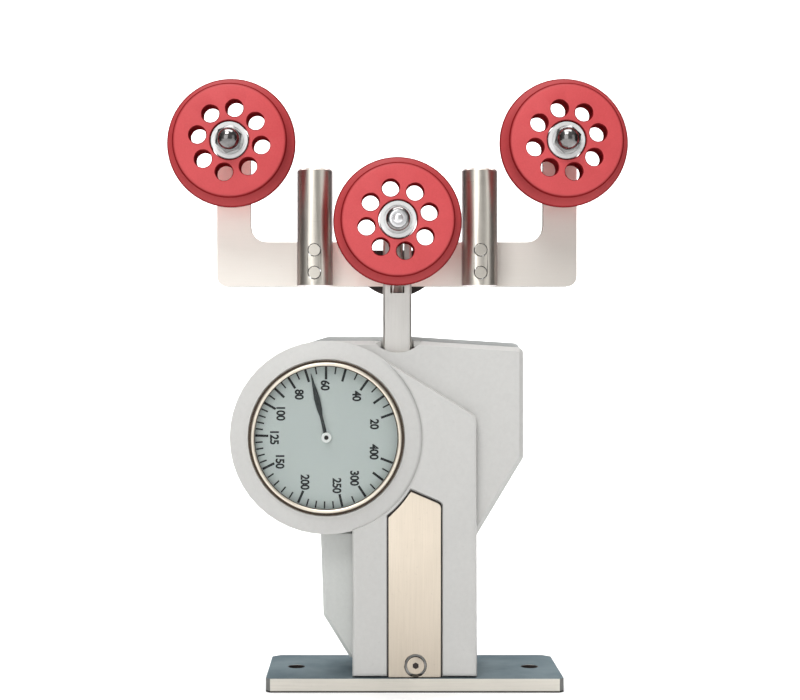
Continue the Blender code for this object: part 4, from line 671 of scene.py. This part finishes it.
# %% Copies with softened edges
copies = {
    # node: (surface, bevel in millimetres)
    "front_housing": ("cast_paint", 0.7), "rear_housing": ("rear_paint", 0.3),
    "thumb_lever": ("lever_paint", 0.3), "inlay_plate": ("inlay_steel", 0.5),
    # the stem clamp's dark steel is partly painted shade from the middle roller
    "yoke_plate": ("plate_steel", 0.2), "stem_clamp": ("dark_steel", 0.1),
    "yoke_stem": ("stem_steel", 0.12), "base_plate": ("base_steel", 0.12),
    "guide_post_left": ("post_steel", 0.1), "guide_post_right": ("post_steel", 0.1),
    "foot_block": ("plain_steel", 0.2), "mechanism_frame": ("plain_steel", 0.1),
    "measuring_rod": ("stem_steel", 0.0), "movement_plate": ("brass", 0.08),
    "movement_bridge": ("brass", 0.06), "sector_gear": ("brass", 0.0), "sector_arbor": ("chrome", 0.0),
    "pointer_arbor": ("dark_steel", 0.0), "drive_pin": ("chrome", 0.08), "lift_pin": ("chrome", 0.1),
    "lever_pivot_pin": ("chrome", 0.1), "measuring_spring": ("spring_steel", 0.0),
    "return_spring": ("spring_steel", 0.0), "dial_face": ("dial_grey", 0.0),
    "glass_seal": ("rubber", 0.0), "dial_glass": ("clear_glass", 0.0),
}
for name in ("post_pin_left_1", "post_pin_left_2", "post_pin_right_1", "post_pin_right_2"):
    copies[name] = ("post_steel", 0.15)
for side in ("left", "middle", "right"):
    copies[side + "_spacer"] = ("plain_steel", 0.15)
    copies[side + "_washer"] = ("chrome", 0.06)
for side in ("left", "right"):
    copies[side + "_axle"] = ("plain_steel", 0.2)

# %% Two copies that change a little
boss_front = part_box("front_housing")[0].y
inlay_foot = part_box("inlay_plate")[0].z
inlay_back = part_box("inlay_plate")[1].y
inlay_width_share, inlay_height_share = 0.965, 0.994
seam_depth = 0.2 * MM
hair = 0.01 * MM  # what lies nearer than this to a plane lies in it
rim_inner, rim_middle, rim_outer = 33.0, 34.0, 35.0  # millimetres; they part the boss's two rim loops
inner_fall, outer_fall = 1.25 * MM, 1.5 * MM
rim_depth = 0.6 * MM  # how far behind the boss's front its rim loops may lie


def narrow_inlay(work):
    """Leave a clear dark seam around and behind the inlay plate."""
    for vert in work.verts:
        if vert.co.y > inlay_back - hair:
            vert.co.y = inlay_back - seam_depth
        vert.co.x *= inlay_width_share
        vert.co.z = inlay_foot + (vert.co.z - inlay_foot) * inlay_height_share


def taper_boss(work):
    """Let the front of the dial boss fall back by up to 1.5 mm toward its rim."""
    def reach(vert):
        return math.hypot(vert.co.x - dial_centre.x, vert.co.z - dial_centre.z) / MM
    front = [face for face in work.faces if all(vert.co.y < boss_front + hair for vert in face.verts)]
    rims = {edge for face in front for edge in face.edges
            if sum(near in front for near in edge.link_faces) == 1}
    bmesh.ops.delete(work, geom=front, context="FACES_ONLY")
    bmesh.ops.delete(work, geom=[edge for edge in work.edges if not edge.link_faces], context="EDGES")
    bmesh.ops.bridge_loops(work, edges=[edge for edge in rims if edge.is_valid])
    for vert in work.verts:
        if vert.co.y < boss_front + rim_depth and rim_inner < reach(vert) < rim_outer:
            vert.co.y = boss_front + (inner_fall if reach(vert) < rim_middle else outer_fall)


shapes = {"front_housing": taper_boss, "inlay_plate": narrow_inlay}
for name, (look, bevel) in copies.items():
    fine_copy(name, look, bevel, shape=shapes.get(name))
print("copies", len(copies))

# %% [markdown]
# ## Painted shade in the seam and the holes
# The narrow gap around the inlay plate and the two fixing holes lie in shade. That shade is
# painted: a thin dark plate fills the seam from behind, and a thin dark sleeve lines
# each hole.

# %% Painted shade: dark plate behind the inlay seam
seam_share = 0.15  # thickness of the seam's plate, as a share of the inlay plate's
work = node_mesh("inlay_plate")
for vert in work.verts:
    vert.co.y = inlay_back - (inlay_back - vert.co.y) * seam_share
finish_piece(mesh_object("inlay_seam", work), body_of_node["inlay_plate"], "dark_steel", angle=30)

# %% Painted shade: dark walls of the fixing holes
shade_sleeve_profile = [(3.12, 0.15), (3.24, 0.1), (3.24, 4.9), (3.12, 4.85)]
for x, y in ((-43.7, -5), (43.7, -5)):  # places of the holes in the CAD
    shade_sleeve = lathe("fixing_hole_wall", shade_sleeve_profile, (0, 0, 0), steps=48)
    foot = Vector((x, y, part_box("base_plate")[0].z / MM)) * MM
    shade_sleeve.data.transform(Matrix.Translation(foot) @ Matrix.Rotation(math.pi / 2, 4, "X"))
    finish_piece(shade_sleeve, body_of_node["base_plate"], "dark_steel", angle=30)


# %% [markdown]
# ## Screws
# Every screw is a turned head with a socket in it. The heads differ in size only, so
# one function makes them all from the box of their CAD node.

# %% Screws with a drive socket
socket_depth = 1.6  # half of it stands out of the head


def socket_screw(node, way, head_radius, head_height, shank_radius, socket_radius, look):
    """Screw that stands for a CAD node: way is the direction its head faces, sizes in millimetres."""
    low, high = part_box(node)
    centre = (low + high) / 2
    facing = Vector(way)
    along = max(high - low) / MM
    work = bmesh.new()
    profile = [
        (0.0, 0.0), (head_radius - 0.25, 0.0), (head_radius - 0.06, -0.07), (head_radius, -0.25),
        (head_radius, -head_height), (shank_radius, -head_height), (shank_radius, -along + 0.3),
        (shank_radius - 0.3, -along), (0.0, -along),
    ]
    points = [work.verts.new((radius * MM, 0, height * MM)) for radius, height in profile]
    for first, second in zip(points, points[1:]):
        work.edges.new((first, second))
    bmesh.ops.spin(work, geom=work.verts[:] + work.edges[:], cent=(0, 0, 0), axis=(0, 0, 1),
                   angle=2 * math.pi, steps=40, use_merge=True)
    bmesh.ops.remove_doubles(work, verts=work.verts, dist=0.0005 * MM)
    turn = Vector((0, 0, 1)).rotation_difference(facing).to_matrix().to_4x4()
    top = centre + facing * along * MM / 2
    bmesh.ops.transform(work, matrix=Matrix.Translation(top) @ turn, verts=work.verts)
    screw = mesh_object(node + "_look", work)
    tool = bmesh.new()
    bmesh.ops.create_cone(tool, cap_ends=True, segments=6, radius1=socket_radius * 0.94 * MM,
                          radius2=socket_radius * MM, depth=socket_depth * MM)
    bmesh.ops.transform(tool, matrix=Matrix.Translation(top) @ turn, verts=tool.verts)
    boolean(screw, mesh_object("socket", tool), "DIFFERENCE")
    finish_piece(screw, body_of_node[node], look, 30)
    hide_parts(node)
    return screw


# way the head faces, head radius and height, shank radius, socket radius, surface
housing_screw = ((0, 1, 0), 2.2, 1.4, 1.2, 1.15, "dark_steel")
base_screw = ((0, 0, -1), 3.6, 2.6, 2.0, 1.7, "dark_steel")
stem_screw = ((0, 1, 0), 1.8, 1.2, 0.8, 0.85, "plain_steel")
screws = [socket_screw("housing_screw_" + str(number), *housing_screw) for number in (1, 2, 3, 4)]
for number in (1, 2):
    screws.append(socket_screw("base_screw_" + str(number), *base_screw))
    screws.append(socket_screw("stem_screw_" + str(number), *stem_screw))
screws.append(socket_screw("inlay_screw", (0, -1, 0), 3.2, 1.2, 1.5, 1.25, "inlay_steel"))
# Painted shade: a dark disc at the bottom of the inlay screw's socket.
low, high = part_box("inlay_screw")
socket_shade_disc = lathe("inlay_screw_socket", [(0.02, 0.55), (1.12, 0.55), (1.12, 0.7), (0.02, 0.7)],
                   Vector(((low.x + high.x) / 2, low.y, (low.z + high.z) / 2)), steps=24)
finish_piece(socket_shade_disc, body_of_node["inlay_screw"], "dark_steel")
print("screws", len(screws))


# %% [markdown]
# ## The bezel
# The bezel is a thin bright ring around the dial, turned from one profile. The dark
# line on each side of it is a thin ring of its own; the outer one is painted shade in
# the groove around the bezel.

# %% Bezel ring
bezel_steps = 160
bezel_centre = Vector((dial_centre.x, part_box("bezel_ring")[0].y, dial_centre.z))
bezel = lathe("bezel_ring_look", [
    (26.0, 0.45), (26.1, 0.22), (26.35, 0.06), (26.6, 0.0), (26.85, 0.06), (27.1, 0.22), (27.2, 0.45),
    (27.25, 0.62), (28.05, 0.66), (28.1, 0.8), (28.1, 3.65), (27.52, 3.65), (27.52, 0.88), (26.05, 0.75),
], bezel_centre, bezel_steps)
finish_piece(bezel, "housing", "bezel_gold", angle=40)
dark_rings = {
    # painted shade in the groove at the bezel's outer edge
    "bezel_groove": [(27.28, 0.3), (28.0, 0.3), (28.05, 0.4), (28.05, 0.62), (27.28, 0.58)],
    "bezel_lip": [(25.72, 0.5), (25.96, 0.42), (25.98, 0.7), (25.72, 0.72)],
}
for name, profile in dark_rings.items():
    finish_piece(lathe(name, profile, bezel_centre, bezel_steps), "housing", "bezel_dark", angle=40)
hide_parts("bezel_ring")


# %% [markdown]
# ## The scale
# The scale is not even: this table gives the angle of each printed value, counted
# counterclockwise from the three o'clock direction. Values between them are found by
# straight interpolation.

# %% Angles of the scale
scale_table = [
    (0, 0.0), (20, 19.9), (30, 35.9), (40, 54.2), (50, 74.2), (60, 90.3), (70, 107.4), (80, 122.4),
    (90, 136.4), (100, 150.7), (125, 178.4), (150, 206.3), (200, 246.5), (250, 283.0), (300, 303.6),
    (350, 323.0), (400, 339.0),
]


def scale_angle(value):
    """Angle in degrees of a value on the scale."""
    for (low_value, low_angle), (high_value, high_angle) in zip(scale_table, scale_table[1:]):
        if low_value <= value <= high_value:
            share = (value - low_value) / (high_value - low_value)
            return low_angle + share * (high_angle - low_angle)
    raise ValueError(value)


values = list(range(20, 150, 5)) + list(range(150, 250, 10)) + list(range(250, 401, 25))
major = set(range(20, 101, 10)) | {125, 150, 200, 250, 300, 350, 400}  # these have a longer tick
print("ticks", len(values), "angle of 67 is", round(scale_angle(67), 1))


# %% [markdown]
# ## Ticks with Geometry Nodes
# The tree gets one point for each tick. Three attributes of the points say which way a
# tick turns, how long and how thick it is, and the tree sets a small bar on each.

# %% Tick tree
def tick_tree():
    """Geometry Nodes tree that sets a flat bar on each point."""
    tree, given = new_tree("dial_ticks", "GeometryNodeTree", {
        "Geometry": "Geometry", "Width": "Float", "Height": "Float", "Material": "Material",
    }, {"Geometry": "Geometry"})

    def column(name):
        return add(tree, "GeometryNodeInputNamedAttribute", {"Name": name}).outputs["Attribute"]

    size = add(tree, "ShaderNodeCombineXYZ", {"X": 1, "Y": given["Height"], "Z": given["Width"]})
    bar = add(tree, "GeometryNodeMeshCube", {"Size": size.outputs[0]})
    spin = add(tree, "ShaderNodeCombineXYZ", {"Y": column("turn")})
    grow = add(tree, "ShaderNodeCombineXYZ", {"X": column("length"), "Y": 1, "Z": column("thick")})
    place = add(tree, "GeometryNodeInstanceOnPoints", {
        "Points": given["Geometry"], "Instance": bar.outputs["Mesh"],
        "Rotation": spin.outputs[0], "Scale": grow.outputs[0]})
    real = add(tree, "GeometryNodeRealizeInstances", {"Geometry": place.outputs["Instances"]})
    dressed = add(tree, "GeometryNodeSetMaterial", {
        "Geometry": real.outputs["Geometry"], "Material": given["Material"]})
    add(tree, "NodeGroupOutput", {0: dressed.outputs["Geometry"]})
    return tree


# %% Ticks on the dial
outer_tick = 25.75  # radius in millimetres at which every tick ends
long_tick, short_tick = 4.7, 2.6
tick_width, tick_height, tick_lift = 0.5, 0.04, 0.01
long_thick, short_thick = 1.75, 1.1  # shares of the tick width
cloud = bpy.data.meshes.new("dial_ticks")
places, turns, lengths, thicks = [], [], [], []
for value in values:
    angle = math.radians(scale_angle(value))
    length = long_tick if value in major else short_tick
    middle_radius = (outer_tick - length / 2) * MM
    places.append((dial_centre.x + middle_radius * math.cos(angle), dial_front - tick_lift * MM,
                   dial_centre.z + middle_radius * math.sin(angle)))
    turns.append(-angle)
    lengths.append(length * MM)
    thicks.append(long_thick if value in major else short_thick)
cloud.from_pydata(places, [], [])
for name, column in (("turn", turns), ("length", lengths), ("thick", thicks)):
    cloud.attributes.new(name, "FLOAT", "POINT").data.foreach_set("value", column)
ticks = bpy.data.objects.new("dial_ticks", cloud)
bpy.context.scene.collection.objects.link(ticks)
run_tree(ticks, tick_tree(), {
    "Width": tick_width * MM, "Height": tick_height * MM, "Material": looks["ink"],
})
finish_piece(ticks, "housing", "ink")
print("tick faces", len(ticks.data.polygons))


# %% [markdown]
# ## Numbers
# The numbers stand on their side: their tops point to the right, as in the photograph.
# Each is a text object turned into a mesh before it is placed.

# %% Dial numbers
number_size = 4.25
number_height = 0.015  # half the thickness of the ink
number_lift = 0.012
number_weight = 0.15  # how far an outline is moved outward
number_width_share = 0.90
upright = Matrix(((0, 1, 0), (0, 0, -1), (-1, 0, 0))).to_4x4()  # sets the top to the right


def dial_number(text, radius, angle):
    """Flat number on the dial, its top to the right."""
    curve = bpy.data.curves.new("number_" + text, "FONT")
    curve.body = text
    curve.size = number_size * MM
    curve.align_x = "CENTER"
    curve.align_y = "CENTER"
    curve.extrude = number_height * MM
    curve.offset = number_weight * MM
    curve.resolution_u = 6
    curve.space_character = 0.95
    holder = bpy.data.objects.new("number_" + text, curve)
    bpy.context.scene.collection.objects.link(holder)
    bpy.context.view_layer.update()
    mesh = bpy.data.meshes.new_from_object(holder.evaluated_get(bpy.context.evaluated_depsgraph_get()))
    bpy.data.objects.remove(holder)
    narrow = Matrix.Diagonal((number_width_share, 1, 1, 1))
    spot = Vector((dial_centre.x + radius * MM * math.cos(angle), dial_front - number_lift * MM,
                   dial_centre.z + radius * MM * math.sin(angle)))
    mesh.transform(Matrix.Translation(spot) @ upright @ narrow)
    item = bpy.data.objects.new("number_" + text, mesh)
    bpy.context.scene.collection.objects.link(item)
    finish_piece(item, "housing", "ink")


number_places = {
    # value: (radius in millimetres, angle in degrees) of the middle of a number
    20: (17.9, 15.6), 40: (18.5, 54.2), 60: (18.9, 91.8), 80: (18.5, 122.7), 100: (18.9, 152.0),
    125: (19.0, 179.6), 150: (19.0, 206.7), 200: (18.0, 243.9), 250: (17.8, 281.8), 300: (17.8, 304.3),
    400: (17.9, 343.0),
}
for value, (radius, degrees) in number_places.items():
    dial_number(str(value), radius, math.radians(degrees))
print("numbers", len(number_places))


# %% [markdown]
# ## Pointer
# The pointer is a thin lance with a raised spine, and its hub wears a white cap with
# the arbor's end showing as a dark dot.

# %% Pointer blade and hub
blade_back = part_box("pointer")[1].y
rest_angle = math.radians(103.6)  # from the right, counterclockwise
along = Vector((math.cos(rest_angle), 0, math.sin(rest_angle)))
across = Vector((-math.sin(rest_angle), 0, math.cos(rest_angle)))
hub = Vector((dial_centre.x, 0, dial_centre.z))
stations = [  # distance from the hub and half width, in millimetres
    (-1.0, 0.8), (2.0, 0.62), (8.0, 0.56), (10.6, 0.95), (14.6, 1.08), (17.6, 0.74), (21.0, 0.38),
    (23.9, 0.09),
]
section = [(1, 0.0), (1, 0.18), (0, 0.28), (-1, 0.18), (-1, 0.0)]  # side, and height in millimetres
work = bmesh.new()
rows = []
for reach, half_width in stations:
    spot = hub + along * reach * MM
    rows.append([
        work.verts.new(spot + across * side * half_width * MM + Vector((0, blade_back - rise * MM, 0)))
        for side, rise in section
    ])
for first, second in zip(rows, rows[1:]):
    for index in range(len(section)):
        follow = (index + 1) % len(section)
        work.faces.new((first[index], first[follow], second[follow], second[index]))
work.faces.new(rows[0])
work.faces.new(rows[-1])
pointer = mesh_object("pointer_look", work)
finish_piece(pointer, "pointer_set", "pointer_black", angle=25)
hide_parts("pointer")
cap_back = Vector((dial_centre.x, blade_back, dial_centre.z))
cap_profile = [
    (0.75, -0.3), (1.7, -0.3), (1.85, -0.42), (1.85, -0.56), (1.7, -0.7), (0.85, -0.7), (0.75, -0.62),
]
hub_cap = lathe("pointer_hub_cap", cap_profile, cap_back, steps=48)
finish_piece(hub_cap, "pointer_set", "hub_white", angle=30)
print("pointer length in mm", stations[-1][0])


# %% [markdown]
# ## Floor, light and camera
# The object stands on a plain pale floor that curves up behind it. Three large soft
# lights in front and one above keep the metal bright, a strong one behind whitens the
# ground, and a dark card on each side gives the metal its dark edges. The camera
# doesn't see the cards.

# %% Stage
def plain_surface(name, light, dark, rough):
    """Matt surface of the floor and the cards, with a faint mottle."""
    return surface(name, light, dark, rough, stretch=60, broad=3, bump=0.05, depth=0.05)


looks["floor"] = plain_surface("floor", (0.93, 0.93, 0.93), (0.915, 0.915, 0.915), (0.75, 0.85))
floor_half, floor_front, wall_top = 3.0, -2.5, 3.5  # metres
bend_start, bend_radius, bend_steps = 0.9, 0.8, 16
sweep = [(floor_front, 0.0), (bend_start, 0.0)]
for step in range(1, bend_steps + 1):
    angle = math.radians(90 * step / bend_steps)
    sweep.append((bend_start + bend_radius * math.sin(angle), bend_radius - bend_radius * math.cos(angle)))
sweep.append((bend_start + bend_radius, wall_top))
work = bmesh.new()
columns = [[work.verts.new((side * floor_half, y, z)) for y, z in sweep] for side in (-1, 1)]
for index in range(len(sweep) - 1):
    work.faces.new((columns[0][index], columns[1][index], columns[1][index + 1], columns[0][index + 1]))
floor = mesh_object("floor", work)
floor.data.materials.append(looks["floor"])
floor.data.shade_smooth()


def soft_light(name, place, aim, size, power):
    """Large rectangular light that looks at a point."""
    lamp = bpy.data.lights.new(name, "AREA")
    lamp.shape = "RECTANGLE"
    lamp.size, lamp.size_y = size
    lamp.energy = power
    item = bpy.data.objects.new(name, lamp)
    item.location = place
    item.rotation_euler = (Vector(aim) - Vector(place)).to_track_quat("-Z", "Y").to_euler()
    bpy.context.scene.collection.objects.link(item)


lights = {
    # name: (place, point it looks at, width and height in metres, power in watts)
    "key": ((-0.28, -0.74, 1.16), (0, 0, 0.12), (0.55, 0.45), 7.4),
    "fill": ((0.90, -0.80, 0.40), (0, 0, 0.12), (0.5, 0.8), 0.7),
    "front_card": ((-0.60, -1.45, 0.45), (0, 0, 0.12), (1.0, 1.2), 5.0),
    "top": ((0.0, -0.12, 1.25), (0, 0.25, 0), (1.0, 0.5), 7.7),
    "back": ((0.0, 0.60, 0.95), (0, 1.3, 0.1), (1.8, 1.0), 34),
}
for name, details in lights.items():
    soft_light(name, *details)
looks["card"] = plain_surface("card", (0.035, 0.033, 0.033), (0.025, 0.024, 0.024), (0.8, 0.9))
card_outline = ((-0.25, 0.02), (0.55, 0.02), (0.55, 0.62), (-0.25, 0.62))  # y and z in metres
for x in (-0.62, 0.62):
    work = bmesh.new()
    work.faces.new([work.verts.new((x, y, z)) for y, z in card_outline])
    card = mesh_object("dark_card", work)
    card.data.materials.append(looks["card"])
    card.visible_camera = False
world = bpy.data.worlds.new("studio")
world.use_nodes = True
world.node_tree.nodes["Background"].inputs["Color"].default_value = (1, 1, 1, 1)
world.node_tree.nodes["Background"].inputs["Strength"].default_value = 0.22
bpy.context.scene.world = world
bpy.context.scene.view_settings.view_transform = "Standard"

# %% Camera
picture_width = 800  # pixels of the photograph
focal_length = 1586  # in the same pixels; with the camera's distance it sets the scale
lens = bpy.data.cameras.new("camera")
lens.sensor_width = 36
lens.lens = lens.sensor_width * focal_length / picture_width
lens.shift_x = 0.0437
eye = bpy.data.objects.new("camera", lens)
eye.location = (-0.0180, -0.600, 0.1237)
eye.rotation_euler = (math.pi / 2, 0, 0)
bpy.context.scene.collection.objects.link(eye)
bpy.context.scene.camera = eye
print("lens", round(lens.lens, 2))
